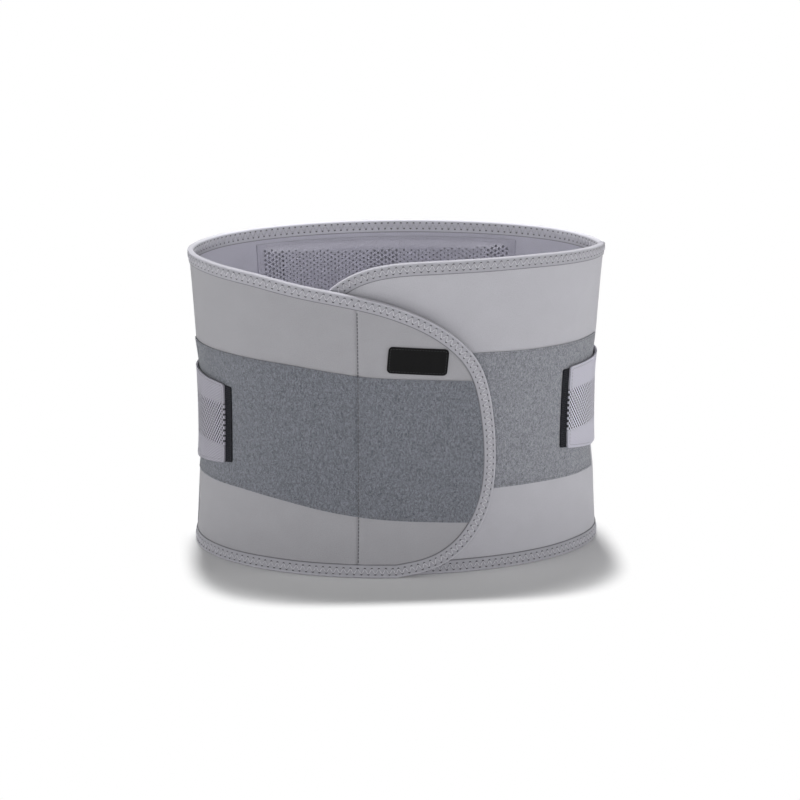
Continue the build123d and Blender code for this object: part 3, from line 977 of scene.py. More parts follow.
@dataclass
class Maker:
    """Dresses pieces, fits them to their bodies and reports them."""

    finishes: Finishes = field(default_factory=Finishes)

    def fit(self, piece: bpy.types.Object, material: bpy.types.Material, body: str, slot: str,
            stands_for: Sequence[str] = ()) -> bpy.types.Object:
        """Gives a piece its material and makes it move with a body, unless that body has a bend.

        Args:
            piece: the finished piece.
            material: its finish.
            body: the body that it moves with. For a body with a bend, the piece's place is only baked into its
                mesh and it is not attached.
            slot: the record's material slot; not used.
            stands_for: the CAD nodes that it replaces.

        Returns:
            The piece.
        """
        piece.data.materials.append(material)
        bend = BENDS.get(body)
        if bend:
            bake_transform(piece)
        else:
            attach(piece, body)
        if stands_for:
            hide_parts(*stands_for)
        LOG.info("%s: %d faces on %s", piece.name, len(piece.data.polygons), body)
        return piece

    def cloth(self, name: str, outline: Path, offsets: tuple[float, float], lap: float,
              material: bpy.types.Material, body: str, slot: str, stands_for: Sequence[str],
              rests_on: Sequence[str] = (), cell: float = 5.0, fine: Sequence[float] = (),
              rise: Optional[Callable[[float, float], float]] = None,
              keep: tuple[float, float] = WHOLE) -> bpy.types.Object:
        """Cuts, wraps and dresses one piece of cloth.

        Args:
            name: the piece's name.
            outline: its cut edge.
            offsets: its inner and outer offsets.
            lap: how far the front half is moved forwards.
            material: its finish.
            body: the body that it moves with.
            slot: the record's material slot.
            stands_for: the CAD nodes that it replaces.
            rests_on: what it is stretched over; not used.
            cell: size of its divisions.
            fine: further places to divide it.
            rise: how far its outer face stands out at a place.
            keep: stations between which the cloth is kept.

        Returns:
            The piece.
        """
        bm = cut_cloth(outline, cell, fine, keep)
        area = sum(face.calc_area() for face in bm.faces) * MM * MM
        thicken(bm, *offsets)
        flat_uv(bm)
        if rise:
            relief(bm, rise, (offsets[0] + offsets[1]) / 2)
        piece = self.fit(from_flat(bm, name, lap), material, body, slot, stands_for)
        return piece


# ------------------------------------------------------------------ the belt's layers

@dataclass(frozen=True)
class Layers:
    """Offsets of each layer from the skin, inner and outer, in millimetres."""

    lining: tuple[float, float] = (0.0, 1.2)
    outer: tuple[float, float] = (1.25, 3.0)
    pile: tuple[float, float] = (3.05, 3.9)
    label: tuple[float, float] = (3.05, 3.8)
    flap_hook: tuple[float, float] = (-1.3, -0.1)
    strap_hook: tuple[float, float] = (4.0, 4.9)
    strap: tuple[float, float] = (4.95, 6.3)
    patch: tuple[float, float] = (6.4, 7.6)
    mesh: tuple[float, float] = (-4.2, -3.0)
    pad: tuple[float, float] = (-2.95, -0.05)
    tape_width: float = 10.5
    tape_edge: float = 0.8
    thread_tops: tuple[tuple[str, float], ...] = (("outer", 3.78), ("inner", -0.68))

    def tape_section(self) -> list[tuple[float, float]]:
        """The folded binding tape's closed section, as distance in from the edge and offset."""
        width = self.tape_width
        return [
            (width, -0.06), (width, -0.62), (width - 1, -0.72), (width / 2, -0.66), (1.6, -0.78),
            (0.7, -0.6), (0.12, 0.1), (0.0, 1.5), (0.12, 2.95), (0.7, 3.72), (1.6, 3.92), (2.6, 3.72),
            (width / 2, 3.8), (width - 1, 3.74), (width, 3.5), (width, 3.06),
            (width / 2, 3.05), (1.0, 3.05), (0.9, 1.5), (1.0, -0.05), (width / 2, -0.05),
        ]


LAYERS = Layers()
SEAM_S = OVAL.station(FLAP_SEAM_X)
LEFT_SEAM_S = OVAL.station(LEFT_SEAM_X, n=0.0)
QUARTER = OVAL.quarter()
BACK_END = 3 * QUARTER
BACK_MIDDLE = 2 * QUARTER
LEAD_IN = 10.0
OVERRUN = 8.0


def seam_dip(s: float, z: float) -> float:
    """The cloth pulled in along the flap's stitched seam, and puffed a little beside it."""
    away = abs(s - SEAM_S)
    return -1.1 * math.exp(-(away / 1.3) ** 2) + 0.25 * math.exp(-((away - 5.0) / 2.8) ** 2)


SEAM_LINES = [SEAM_S + step for step in (-8.0, -6.0, -4.0, -2.8, -1.8, -1.0, 1.0, 1.8, 2.8, 4.0, 5.5,
                                         7.0, 8.5, 10.0, 11.5, 13.0, 14.5, 16.0, 17.5, 19.0)]
SIDE_LINES = [step - QUARTER for step in (1.5, 3.0, 4.5, 6.0, 7.5, 9.0, 10.5, 12.0, 13.5)]


@dataclass(frozen=True)
class WingCut:
    """A front wing's cut edge and loop strip, in cloth.

    reach is 1 where the wing's tip points to the wearer's left and -1 where to the right.
    """

    edge: Path
    pile_top: Path
    pile_bottom: Path
    reach: float
    lap: float
    seam: float

    def border(self, inset: float) -> Path:
        """The wing's edge, moved inwards."""
        return moved(self.edge, self.reach, inset)

    def outline(self, inset: float) -> Path:
        """The whole wing's outline, with its edge moved inwards."""
        path = self.border(inset)
        return path[(path[:, 0] - self.seam) * self.reach > -OVERRUN]

    def strip_outline(self, inset: float) -> Path:
        """The loop strip's outline, ended at the binding tape."""
        edge = self.border(inset)
        tip = edge[(edge[:, 0] * self.reach > 0) & (edge[:, 1] > 25) & (edge[:, 1] < 200)]
        tip = tip[np.argsort(tip[:, 1])]
        sides = []
        for side in (self.pile_top, self.pile_bottom):
            limit = np.interp(side[:, 1], tip[:, 1], tip[:, 0])
            sides.append(side[(limit - side[:, 0]) * self.reach > 0.3])
        top, bottom = sides
        between = tip[(tip[:, 1] < top[-1, 1]) & (tip[:, 1] > bottom[-1, 1])][::-1]
        return np.concatenate([top, between, bottom[::-1]])


def wing_cut(edge: Sequence, top: Sequence, bottom: Sequence, reach: float, lap: float, seam: float) -> WingCut:
    """Works a wing's front-view outline out in cloth.

    Args:
        edge: front-view points from the side seam's top, round the tip, to the bottom edge.
        top: front-view points of the loop strip's top edge, from the side.
        bottom: the same for its bottom edge.
        reach: which way the tip points.
        lap: how far the front half is moved forwards.
        seam: the side seam's station.

    Returns:
        The wing's cut.
    """
    path = to_cloth(smooth_curve(edge, 1.2))
    tail = level(path[-1, 0], seam - reach * LEAD_IN, 0.0)[1:]
    path = np.concatenate([path, tail])
    started = (path[:, 0] - seam) * reach > 0.4
    first = int(np.argmax(started))
    height = path[first, 1]
    lead = level(seam - reach * LEAD_IN, path[first, 0] - reach * 0.5, height)
    path = np.concatenate([lead, path[first:]])
    sides = [to_cloth(smooth_curve(side, 2.4)) for side in (top, bottom)]
    trimmed = []
    for side in sides:
        side = side[(side[:, 0] - seam) * reach > 0.4]
        lead = level(seam - reach * LEAD_IN, side[0, 0] - reach * 0.5, side[0, 1])
        trimmed.append(np.concatenate([lead, side]))
    return WingCut(resample(path, 2.2), trimmed[0], trimmed[1], reach, lap, seam)


RIGHT_WING = wing_cut(
    [(-163, 241.2), (-147, 240.0), (-129, 238.4), (-85, 231.0), (-41, 223.6), (5, 208.4), (34, 190.0),
     (53, 167.0), (63, 132.0), (66.2, 93.0), (61.5, 54.5), (45.6, 25.7), (20.8, 8.0), (-12, 0.0)],
    [(-163, 169.8), (-138, 169.3), (-86, 166.2), (-41, 160.7), (17, 157.0), (70, 152.5)],
    [(-163, 62.4), (-135, 62.2), (-94, 56.9), (-44, 48.6), (17, 43.8), (70, 39.0)],
    reach=1.0, lap=Lap.RIGHT, seam=-QUARTER)
LEFT_WING = wing_cut(
    [(159, 246.1), (152, 246.6), (112, 249.2), (60, 249.9), (10, 249.5), (-24, 246.5), (-45, 239.8),
     (-63, 227.0), (-79, 205.0), (-89, 176.0), (-93, 137.0), (-91, 98.0), (-83, 58.0), (-66, 27.0),
     (-42, 8.0), (-10, 0.0)],
    [(158, 172.5), (152, 172.6), (101, 173.4), (48, 175.4), (-20, 176.0), (-100, 170.0)],
    [(158, 61.6), (152, 61.8), (93, 64.6), (30, 64.0), (-30, 60.0), (-100, 54.0)],
    reach=-1.0, lap=Lap.LEFT, seam=LEFT_SEAM_S)


@dataclass
class TapedEdge:
    """Folded binding tape along one edge, with zigzag sewing on both faces."""

    maker: Maker
    name: str
    path: Path
    turn: float
    lap: float
    body: str
    stands_for: tuple[str, ...]
    finish: Optional[bpy.types.Material] = None
    near: float = 2.9
    far: float = 7.3
    pitch: float = 5.2

    def build(self) -> None:
        """Builds and dresses the tape and its threads."""
        maker = self.maker
        tape = from_flat(swept_tape(self.path, self.turn, LAYERS.tape_section()), self.name, self.lap)
        maker.fit(tape, self.finish or maker.finishes.tape, self.body, "binding_tape", self.stands_for)
        for face, top in LAYERS.thread_tops:
            stitches = zigzag(self.path, self.turn, self.near, self.far, self.pitch, top)
            thread = from_flat(stitches, f"{self.name}_{face}_thread", self.lap)
            maker.fit(thread, maker.finishes.thread, self.body, "binding_tape")


@dataclass
class RightWing:
    """The front wing on the wearer's right, which lies on top."""

    maker: Maker
    cut: WingCut = RIGHT_WING
    start: float = -QUARTER
    end: float = SEAM_S

    def build(self) -> None:
        """Builds the wing's cloth, loop strip, tapes and sewing."""
        make, look, body = self.maker, self.maker.finishes, "right_wing"
        keep = (self.start, self.end)
        outline = self.cut.outline(LAYERS.tape_edge)
        make.cloth("right_wing_outer", outline, LAYERS.outer, self.cut.lap, look.outer, body, "outer_fabric",
                   ["right_wing_outer_fabric"], fine=SEAM_LINES + SIDE_LINES, rise=seam_dip, keep=keep)
        make.cloth("right_wing_inner", outline, LAYERS.lining, self.cut.lap, look.lining, body, "lining",
                   ["right_wing_lining"], fine=SIDE_LINES, keep=keep)
        strip = self.cut.strip_outline(LAYERS.tape_width + 0.2)
        make.cloth("right_wing_pile", strip, LAYERS.pile, self.cut.lap, look.pile, body, "loop_pile",
                   ["right_wing_loop_strip"], fine=SEAM_LINES + SIDE_LINES, rise=seam_dip, keep=keep)
        for part, path in zip(("top", "bottom"), clipped(self.cut.edge, *keep)):
            TapedEdge(make, f"right_wing_{part}_tape", path, 1.0, self.cut.lap, body,
                      (f"right_wing_{part}_binding",)).build()
        strip_sewing(make, self.cut, keep, body, "right_wing")


def strip_sewing(make: Maker, cut: WingCut, keep: tuple[float, float], body: str, name: str) -> None:
    """Sews down the top and bottom edges of a loop strip."""
    low, high = min(keep), max(keep)
    bm = bmesh.new()
    for side, shift in ((cut.pile_top, -1.6), (cut.pile_bottom, 1.6)):
        path = side[(side[:, 0] > low + 1) & (side[:, 0] < high - 1)] + np.array([0.0, shift])
        limit = cut.border(LAYERS.tape_width + 1.0)
        tip = limit[(limit[:, 0] * cut.reach > 0) & (limit[:, 1] > 25) & (limit[:, 1] < 200)]
        tip = tip[np.argsort(tip[:, 1])]
        path = path[(np.interp(path[:, 1], tip[:, 1], tip[:, 0]) - path[:, 0]) * cut.reach > 1.0]
        part = running_stitches(path, lambda s, z: LAYERS.pile[1])
        mesh = bpy.data.meshes.new("sewing")
        part.to_mesh(mesh)
        part.free()
        bm.from_mesh(mesh)
        bpy.data.meshes.remove(mesh)
    sewing = from_flat(bm, f"{name}_strip_sewing", cut.lap)
    make.fit(sewing, make.finishes.grey_thread, body, "loop_pile")


@dataclass
class ClosureFlap:
    """The rounded front end of the right wing, which peels open from the stitched seam."""

    maker: Maker
    cut: WingCut = RIGHT_WING
    start: float = SEAM_S
    label_centre: tuple[float, float] = (4.2, 172.5)
    label_size: tuple[float, float] = (45.5, 21.0)
    label_corner: float = 3.0
    label_tilt: float = -4.6
    strip_span: tuple[float, float] = (48.4, 160.7)

    def build(self) -> None:
        """Builds the flap's cloth, strip, hook panel, tape, label and sewing."""
        make, look, body = self.maker, self.maker.finishes, "closure_flap"
        keep = (self.start, ENDLESS)
        outline = self.cut.outline(LAYERS.tape_edge)
        make.cloth("flap_outer", outline, LAYERS.outer, self.cut.lap, look.outer, body, "outer_fabric",
                   ["flap_outer_fabric"], fine=SEAM_LINES, rise=seam_dip, keep=keep)
        make.cloth("flap_inner", outline, LAYERS.lining, self.cut.lap, look.lining, body, "lining",
                   ["flap_lining"], fine=SEAM_LINES, keep=keep)
        strip = self.cut.strip_outline(LAYERS.tape_width + 0.2)
        make.cloth("flap_pile", strip, LAYERS.pile, self.cut.lap, look.pile, body, "loop_pile",
                   ["flap_loop_strip"], fine=SEAM_LINES, rise=seam_dip, keep=keep)
        path = clipped(self.cut.edge, *keep)[0]
        TapedEdge(make, "flap_tape", path, 1.0, self.cut.lap, body, ("flap_binding",)).build()
        strip_sewing(make, self.cut, keep, body, "flap")
        self.hook_panel()
        self.label()
        self.seam_sewing()

    def hook_panel(self) -> None:
        """The black hook panel inside the flap."""
        edge = self.cut.border(LAYERS.tape_width + 1.2)
        tip = edge[(edge[:, 0] > 0) & (edge[:, 1] > 50) & (edge[:, 1] < 156)]
        near = self.start + 4.0
        corners = [(near, tip[0, 1]), *tip, (near, tip[-1, 1])]
        self.maker.cloth("flap_hooks", np.array(corners), LAYERS.flap_hook, self.cut.lap,
                         self.maker.finishes.hook, "closure_flap", "hook_tape", ["flap_hook_panel"],
                         fine=SEAM_LINES)

    def rounded(self, shrink: float, spacing: float = 1.5) -> Path:
        """The label's rounded outline, made smaller all round."""
        half = np.array(self.label_size) / 2 - shrink
        radius = max(self.label_corner - shrink, 0.6)
        points = []
        for index, (sx, sz) in enumerate(((1, 1), (-1, 1), (-1, -1), (1, -1))):
            centre = np.array([sx, sz]) * (half - radius)
            for turn in np.linspace(0, math.pi / 2, 6) + index * math.pi / 2:
                points.append(centre + radius * np.array([math.cos(turn), math.sin(turn)]))
        path = resample(np.array(points + [points[0]]), spacing)
        tilt = math.radians(self.label_tilt)
        rotation = np.array([[math.cos(tilt), math.sin(tilt)], [-math.sin(tilt), math.cos(tilt)]])
        middle = np.array([OVAL.station(*self.label_centre), self.label_centre[1]])
        return path @ rotation + middle

    def label(self) -> None:
        """The bare black label, with a raised border and its sewing."""
        make, look = self.maker, self.maker.finishes
        outline = self.rounded(0.0)[:-1]
        border = self.rounded(1.6)
        inner = self.rounded(2.6)[:-1]
        middle = inner.mean(0)
        bm = cut_cloth(outline, 3.0)
        thicken(bm, *LAYERS.label)
        half = np.array(self.label_size) / 2

        def rise(s: float, z: float) -> float:
            """The label's low crown, which ends at its edges."""
            away = np.abs(np.array([s, z]) - middle) / half
            return 0.16 * (1 - max(away) ** 6)

        relief(bm, rise, 3.4)
        piece = from_flat(bm, "label", self.cut.lap)
        make.fit(piece, look.label, "closure_flap", "label", ["label_patch"])
        stitches = running_stitches(border, lambda s, z: LAYERS.label[1], pitch=2.2, radius=0.17)
        sewing = from_flat(stitches, "label_sewing", self.cut.lap)
        make.fit(sewing, look.dark_thread, "closure_flap", "label")

    def seam_sewing(self) -> None:
        """The upright row of stitches where the flap starts."""
        edge = self.cut.edge
        near = edge[np.abs(edge[:, 0] - self.start) < 3]
        top = near[near[:, 1] > 120][:, 1].mean() - LAYERS.tape_width - 0.6
        path = resample(np.array([(self.start + 0.35, LAYERS.tape_width + 0.6), (self.start + 0.35, top)]), 2.0)

        def face(s: float, z: float) -> float:
            """The face that the thread lies on: the loop strip's, or the cloth's past it."""
            base = LAYERS.pile[1] if self.strip_span[0] < z < self.strip_span[1] else LAYERS.outer[1]
            return base + seam_dip(s, z) + 0.1

        stitches = running_stitches(path, face, pitch=2.9, radius=0.42)
        sewing = from_flat(stitches, "flap_seam_sewing", self.cut.lap)
        self.maker.fit(sewing, self.maker.finishes.seam_thread, "closure_flap", "outer_fabric")


@dataclass
class LeftWing:
    """The front wing on the wearer's left, which lies underneath."""

    maker: Maker
    cut: WingCut = LEFT_WING
    start: float = LEFT_SEAM_S

    def build(self) -> None:
        """Builds the wing's cloth, loop strip, tape and sewing."""
        make, look, body = self.maker, self.maker.finishes, "left_wing"
        keep = (-ENDLESS, self.start)
        outline = self.cut.outline(LAYERS.tape_edge)
        # The outer cloth and loop strip take the lit copies of their finishes: painted light.
        make.cloth("left_wing_outer", outline, LAYERS.outer, self.cut.lap, look.under, body, "outer_fabric",
                   ["left_wing_outer_fabric"], keep=keep)
        make.cloth("left_wing_inner", outline, LAYERS.lining, self.cut.lap, look.lining, body, "lining",
                   ["left_wing_lining"], keep=keep)
        strip = self.cut.strip_outline(LAYERS.tape_width + 0.2)
        make.cloth("left_wing_pile", strip, LAYERS.pile, self.cut.lap, look.lit_under_pile, body, "loop_pile",
                   ["left_wing_loop_strip"], keep=keep)
        path = clipped(self.cut.edge, *keep)[0]
        TapedEdge(make, "left_wing_tape", path, -1.0, self.cut.lap, body, ("left_wing_binding",)).build()
        strip_sewing(make, self.cut, keep, body, "left_wing")


@dataclass
class BackPanel:
    """The back of the belt, from side seam to side seam, with its taped rims."""

    maker: Maker
    start: float = LEFT_SEAM_S
    end: float = BACK_END
    height: float = 241.0
    seam_height: float = 246.5
    lap: float = Lap.LEFT

    def rim(self) -> Path:
        """The top edge, which rises towards the left side seam."""
        stations = np.arange(self.start, self.end, 2.2)
        stations = np.append(stations, self.end)
        share = np.clip((QUARTER - stations) / (QUARTER - self.start), 0, 1)
        return np.stack([stations, self.height + (self.seam_height - self.height) * share], axis=1)

    def build(self) -> None:
        """Builds the back's cloth, lining, tapes and seam sewing."""
        make, look = self.maker, self.maker.finishes
        edge = LAYERS.tape_edge
        top = self.rim() - np.array([0.0, edge])
        outline = np.concatenate([top, [(self.end, edge), (self.start, edge)]])
        make.cloth("back_outer", outline, LAYERS.outer, self.lap, look.side, "back", "outer_fabric",
                   ["back_outer_fabric"])
        make.cloth("back_inner", outline, LAYERS.lining, self.lap, look.lining, "back", "lining",
                   ["back_lining"], cell=4.0)
        # The top tape takes the lit copy of the binding tape: painted light.
        TapedEdge(make, "back_top_tape", self.rim(), 1.0, self.lap, "back", ("back_top_binding",),
                  look.back_tape).build()
        bottom = level(self.end, self.start, 0.0)
        TapedEdge(make, "back_bottom_tape", bottom, 1.0, self.lap, "back", ("back_bottom_binding",)).build()


@dataclass
class LumbarPanel:
    """The breathable panel inside the back, with its pads, sleeves and steel stays."""

    maker: Maker
    half_width: float = 103.0
    low: float = 22.0
    high: float = 227.0
    pad_span: tuple[float, float] = (27.0, 68.0)
    stay_span: tuple[float, float] = (29.0, 212.0)
    stay_places: tuple[tuple[str, float], ...] = (("inner", 18.0), ("outer", 77.0))
    sleeve_width: float = 14.0
    hole_pitch: tuple[float, float] = (3.1, 3.8)
    hem: float = 3.6
    open_from: float = 88.0
    open_middle: float = 13.0
    hole_radii: tuple[float, float] = (1.12, 0.8)
    rim_dip: float = 7.0
    sunk: float = 2.85
    slope: tuple[float, float] = (15.0, 9.0)

    def station(self, x: float) -> float:
        """Distance round the waist of a place on the inside of the back."""
        return BACK_MIDDLE - OVAL.station(x, n=-3.0)

    def build(self) -> None:
        """Builds the mesh panel, pads and sleeves, and finishes the stays."""
        self.mesh_panel()
        for side, sign in (("right", -1.0), ("left", 1.0)):
            self.pad(side, sign)
            for place, distance in self.stay_places:
                self.sleeve(f"{side}_{place}", sign * distance)
                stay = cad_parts[f"{side}_{place}_steel_stay"]
                dress(stay, self.maker.finishes.steel)
        dress(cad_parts["stay_end_caps"], self.maker.finishes.cap)

    def mesh_panel(self) -> None:
        """The perforated panel, with a real hole at each knot of its knit."""
        ends = sorted((self.station(-self.half_width), self.station(self.half_width)))
        bm = bmesh.new()
        across, up = self.hole_pitch
        for column in range(int((ends[1] - ends[0]) / across) + 2):
            for row in range(int((self.high - self.low) / up) + 2):
                middle = (ends[0] + column * across, self.low + (row + column % 2 / 2) * up)
                self.knot(bm, middle, self.hole_radius(middle[0], middle[1]))
        bmesh.ops.remove_doubles(bm, verts=bm.verts, dist=0.02)
        for point, normal in (((ends[0], 0, 0), (-1, 0, 0)), ((ends[1], 0, 0), (1, 0, 0)),
                              ((0, 0, self.low), (0, 0, -1)), ((0, 0, self.high), (0, 0, 1))):
            slice_cloth(bm, point, normal, clear=True)
        area = sum(face.calc_area() for face in bm.faces) * MM * MM
        thicken(bm, LAYERS.mesh[0] + 0.45, LAYERS.mesh[1])
        flat_uv(bm)
        for vert in bm.verts:
            vert.co.y -= self.sewn_down(vert.co.x, vert.co.z)
        make = self.maker
        piece = from_flat(bm, "lumbar_mesh", Lap.LEFT)
        make.fit(piece, make.finishes.mesh, "back", "lumbar_mesh", ["lumbar_mesh_panel"])
        inset = 2.2
        left, right, low, high = ends[0] + inset, ends[1] - inset, self.low + inset, self.high - inset
        corners = np.array([(left, low), (right, low), (right, high), (left, high), (left, low)])
        stitches = running_stitches(
            resample(corners, 2.0), lambda s, z: LAYERS.mesh[0] + 0.4 + self.sewn_down(s, z), pitch=3.0)
        sewing = from_flat(stitches, "lumbar_mesh_sewing", Lap.LEFT)
        make.fit(sewing, make.finishes.lilac_thread, "back", "lumbar_mesh")

    def sewn_down(self, s: float, z: float) -> float:
        """How far the panel comes down to the lining, near its hem."""
        beside = (self.station(-self.half_width) - BACK_MIDDLE - abs(s - BACK_MIDDLE)) / self.slope[0]
        above = min(z - self.low, self.high - z) / self.slope[1]
        share = max(0.0, min(1.0, beside, above if z > 120 else above * 3))
        return self.sunk * (1.0 - share * share * (3.0 - 2.0 * share))

    def hole_radius(self, s: float, z: float) -> float:
        """Size of the hole at a place: wide between the pads, small over them, none at the hem."""
        x = abs(BACK_MIDDLE - s)
        edge = abs(self.station(-self.half_width) - BACK_MIDDLE)
        dip = self.rim_dip * (1.0 - (x / edge) ** 2)
        if min(edge - x, z - self.low, self.high - dip - z) < self.hem:
            return 0.0
        wide, small = self.hole_radii
        return wide if x < self.open_middle or x > self.open_from else small

    def knot(self, bm: bmesh.types.BMesh, middle: tuple[float, float], radius: float) -> None:
        """One six-sided cell of the mesh, with its hole."""
        across, up = self.hole_pitch
        corners = [(2 / 3 * across, 0), (across / 3, up / 2), (-across / 3, up / 2),
                   (-2 / 3 * across, 0), (-across / 3, -up / 2), (across / 3, -up / 2)]
        outer = [bm.verts.new((middle[0] + x, 0, middle[1] + z)) for x, z in corners]
        if not radius:
            bm.faces.new(outer)
            return
        shares = [radius / math.hypot(x, z) for x, z in corners]
        inner = [bm.verts.new((middle[0] + x * k, 0, middle[1] + z * k)) for (x, z), k in zip(corners, shares)]
        for index in range(6):
            after = (index + 1) % 6
            bm.faces.new((outer[index], outer[after], inner[after], inner[index]))

    def pad(self, side: str, sign: float) -> None:
        """One thin foam pad, crowned between its edges."""
        ends = sorted((self.station(sign * self.pad_span[0]), self.station(sign * self.pad_span[1])))
        low, high = self.stay_span
        outline = rounded_bar(ends[0], ends[1], low, high, 9.0)
        bm = cut_cloth(outline, 3.5)
        thicken(bm, LAYERS.pad[0] + 0.1, LAYERS.pad[1])
        middle_s, middle_z = sum(ends) / 2, (low + high) / 2
        half_s, half_z = (ends[1] - ends[0]) / 2, (high - low) / 2
        for vert in bm.verts:
            edge = min(half_s - abs(vert.co.x - middle_s), half_z - abs(vert.co.z - middle_z))
            fall = 1.1 * math.exp(-max(edge, 0.0) / 2.5)
            vert.co.y += -fall if vert.co.y > 1.5 else 0.0
        flat_uv(bm)
        piece = from_flat(bm, f"lumbar_pad_{side}", Lap.LEFT)
        self.maker.fit(piece, self.maker.finishes.pad, "back", "foam_pad", [f"{side}_lumbar_pad"])

    def sleeve(self, name: str, x: float) -> None:
        """The tape sleeve round one stay, open inside."""
        middle = self.station(x)
        half = self.sleeve_width / 2
        low, high = self.stay_span[0] - 4, self.stay_span[1] + 4
        outline = rounded_bar(middle - half, middle + half, low, high, 2.0)
        for part, span in (("front", (-2.95, -2.4)), ("back", (-0.45, -0.05))):
            bm = cut_cloth(outline, 4.0)
            thicken(bm, *span)
            flat_uv(bm)
            piece = from_flat(bm, f"{name}_sleeve_{part}", Lap.LEFT)
            stands_for = [f"{name}_stay_sleeve"] if part == "front" else []
            self.maker.fit(piece, self.maker.finishes.sleeve, "back", "sleeve_tape", stands_for)
            declare_sheet(outline)


def declare_sheet(outline: Path) -> None:
    """Measures a flat-cut strip's cut, and does nothing more with it."""
    size = (outline.max(0) - outline.min(0)) * MM
    if size.min() < SMALLEST_SHEET:
        return


def dress(node: bpy.types.Object, material: bpy.types.Material) -> None:
    """Gives a node of the frame a better material."""
    if not node.material_slots:
        node.data.materials.append(material)
    for slot in node.material_slots:
        slot.material = material


def rounded_bar(start: float, end: float, low: float, high: float, corner: float) -> Path:
    """A rounded rectangle in flat cloth."""
    points = []
    corners = ((end - corner, high - corner), (start + corner, high - corner),
               (start + corner, low + corner), (end - corner, low + corner))
    for index, centre in enumerate(corners):
        for turn in np.linspace(0, math.pi / 2, 6) + index * math.pi / 2:
            points.append((centre[0] + corner * math.cos(turn), centre[1] + corner * math.sin(turn)))
    return np.array(points)


@dataclass
class Strap:
    """One elastic tension strap, from the middle of the back to its hooked tab."""

    maker: Maker
    side: str
    sign: float
    lap: float
    back_start: float
    wing_seam: float
    root: float
    tip: float
    low: float
    high: float
    tip_low: float
    tip_high: float
    hook_reach: float = 7.0

    def span_outline(self, start: float, end: float) -> Path:
        """A level stretch of strap."""
        return np.array([(start, self.high), (end, self.high), (end, self.low), (start, self.low)])

    def build(self) -> None:
        """Builds the rear and front webbing, the tab, its hook pad and sewing."""
        make, side = self.maker, self.side
        look = make.finishes
        rear = sorted((self.back_start, self.wing_seam if self.sign > 0 else BACK_END))
        self.webbing(f"{side}_strap_back", self.span_outline(*rear), Lap.LEFT, "back", f"{side}_strap_rear")
        front = sorted((self.wing_seam, self.root))
        self.webbing(f"{side}_strap_side", self.span_outline(*front), self.lap, f"{side}_wing",
                     f"{side}_strap_front", cell=1.5)
        self.webbing(f"{side}_tab", self.tab_outline(0.0, 0.0, 2.0), self.lap, f"{side}_tab", f"{side}_strap_tab",
                     cell=2.5)
        pad_outline = self.tab_outline(self.hook_reach, 1.5, 1.2, past_root=-1.5)
        bm = cut_cloth(pad_outline, 3.0)
        thicken(bm, *LAYERS.strap_hook)
        flat_uv(bm)
        pad = from_flat(bm, f"{side}_tab_hooks", self.lap)
        make.fit(pad, look.hook, f"{side}_tab", "hook_tape", [f"{side}_tab_hook_pad"])
        declare_sheet(pad_outline)
        self.sewing()

    def webbing(self, name: str, outline: Path, lap: float, body: str, node: str, cell: float = 4.0) -> None:
        """One stretch of webbing, with its UVs measured from the strap's bottom edge."""
        bm = cut_cloth(outline, cell)
        thicken(bm, *LAYERS.strap)
        flat_uv(bm)
        layer = bm.loops.layers.uv.verify()
        for face in bm.faces:
            for loop in face.loops:
                loop[layer].uv[1] -= self.low
        look = self.maker.finishes
        # The left strap's webbing and tab take the lit copy of the webbing: painted light.
        front = look.left_strap if self.sign > 0 else look.strap
        piece = self.maker.fit(from_flat(bm, name, lap), look.strap_back if body == "back" else front, body,
                               "strap_webbing", [node])
        declare_sheet(outline)

    def tab_outline(self, reach: float, shrink: float, corner: float, past_root: float = 0.0) -> Path:
        """The tab's outline: it narrows to a tip with rounded corners."""
        ahead = -self.sign
        end = self.tip + ahead * reach
        root = self.root + self.sign * past_root
        low, high = self.tip_low + shrink, self.tip_high - shrink
        turn = np.linspace(0, math.pi / 2, 5)
        top = [(end - ahead * corner * (1 - math.sin(a)), high - corner * (1 - math.cos(a))) for a in turn]
        bottom = [(end - ahead * corner * (1 - math.cos(a)), low + corner * (1 - math.sin(a))) for a in turn]
        return np.array([(root, self.high - shrink), *top, *bottom, (root, self.low + shrink)])

    def sewing(self) -> None:
        """Stitches round the tab."""
        make = self.maker
        inside = self.tab_outline(-2.2, 2.2, 1.0, past_root=-1.5)
        stitches = running_stitches(resample(inside, 1.2), lambda s, z: LAYERS.strap[1], pitch=2.8, radius=0.2)
        sewing = from_flat(stitches, f"{self.side}_tab_sewing", self.lap)
        make.fit(sewing, make.finishes.strap_thread, f"{self.side}_tab", "strap_webbing")


@dataclass
class AnchorPatch:
    """The patch that sews both straps to the middle of the back."""

    maker: Maker
    half_width: float = 26.0
    low: float = 67.0
    high: float = 160.0

    def build(self) -> None:
        """Builds the patch and its crossed box of stitches."""
        make, look = self.maker, self.maker.finishes
        start, end = BACK_MIDDLE - self.half_width, BACK_MIDDLE + self.half_width
        make.cloth("anchor_patch", rounded_bar(start, end, self.low, self.high, 5.0), LAYERS.patch, Lap.LEFT,
                   look.patch, "back", "strap_webbing", ["strap_anchor_patch"], cell=3.0)
        a, b, c, d = start + 4, end - 4, self.low + 4, self.high - 4
        corners = [(a, c), (b, c), (b, d), (a, d), (a, c), (b, d), (b, c), (a, d)]
        stitches = running_stitches(resample(np.array(corners, float), 1.5), lambda s, z: LAYERS.patch[1])
        make.fit(from_flat(stitches, "anchor_patch_sewing", Lap.LEFT), look.grey_thread, "back", "strap_webbing")


# ------------------------------------------------------------------ studio

@dataclass(frozen=True)
class Lamp:
    """A square softbox, with its place and size in metres and its power in watts."""

    name: str
    place: tuple[float, float, float]
    size: float
    power: float


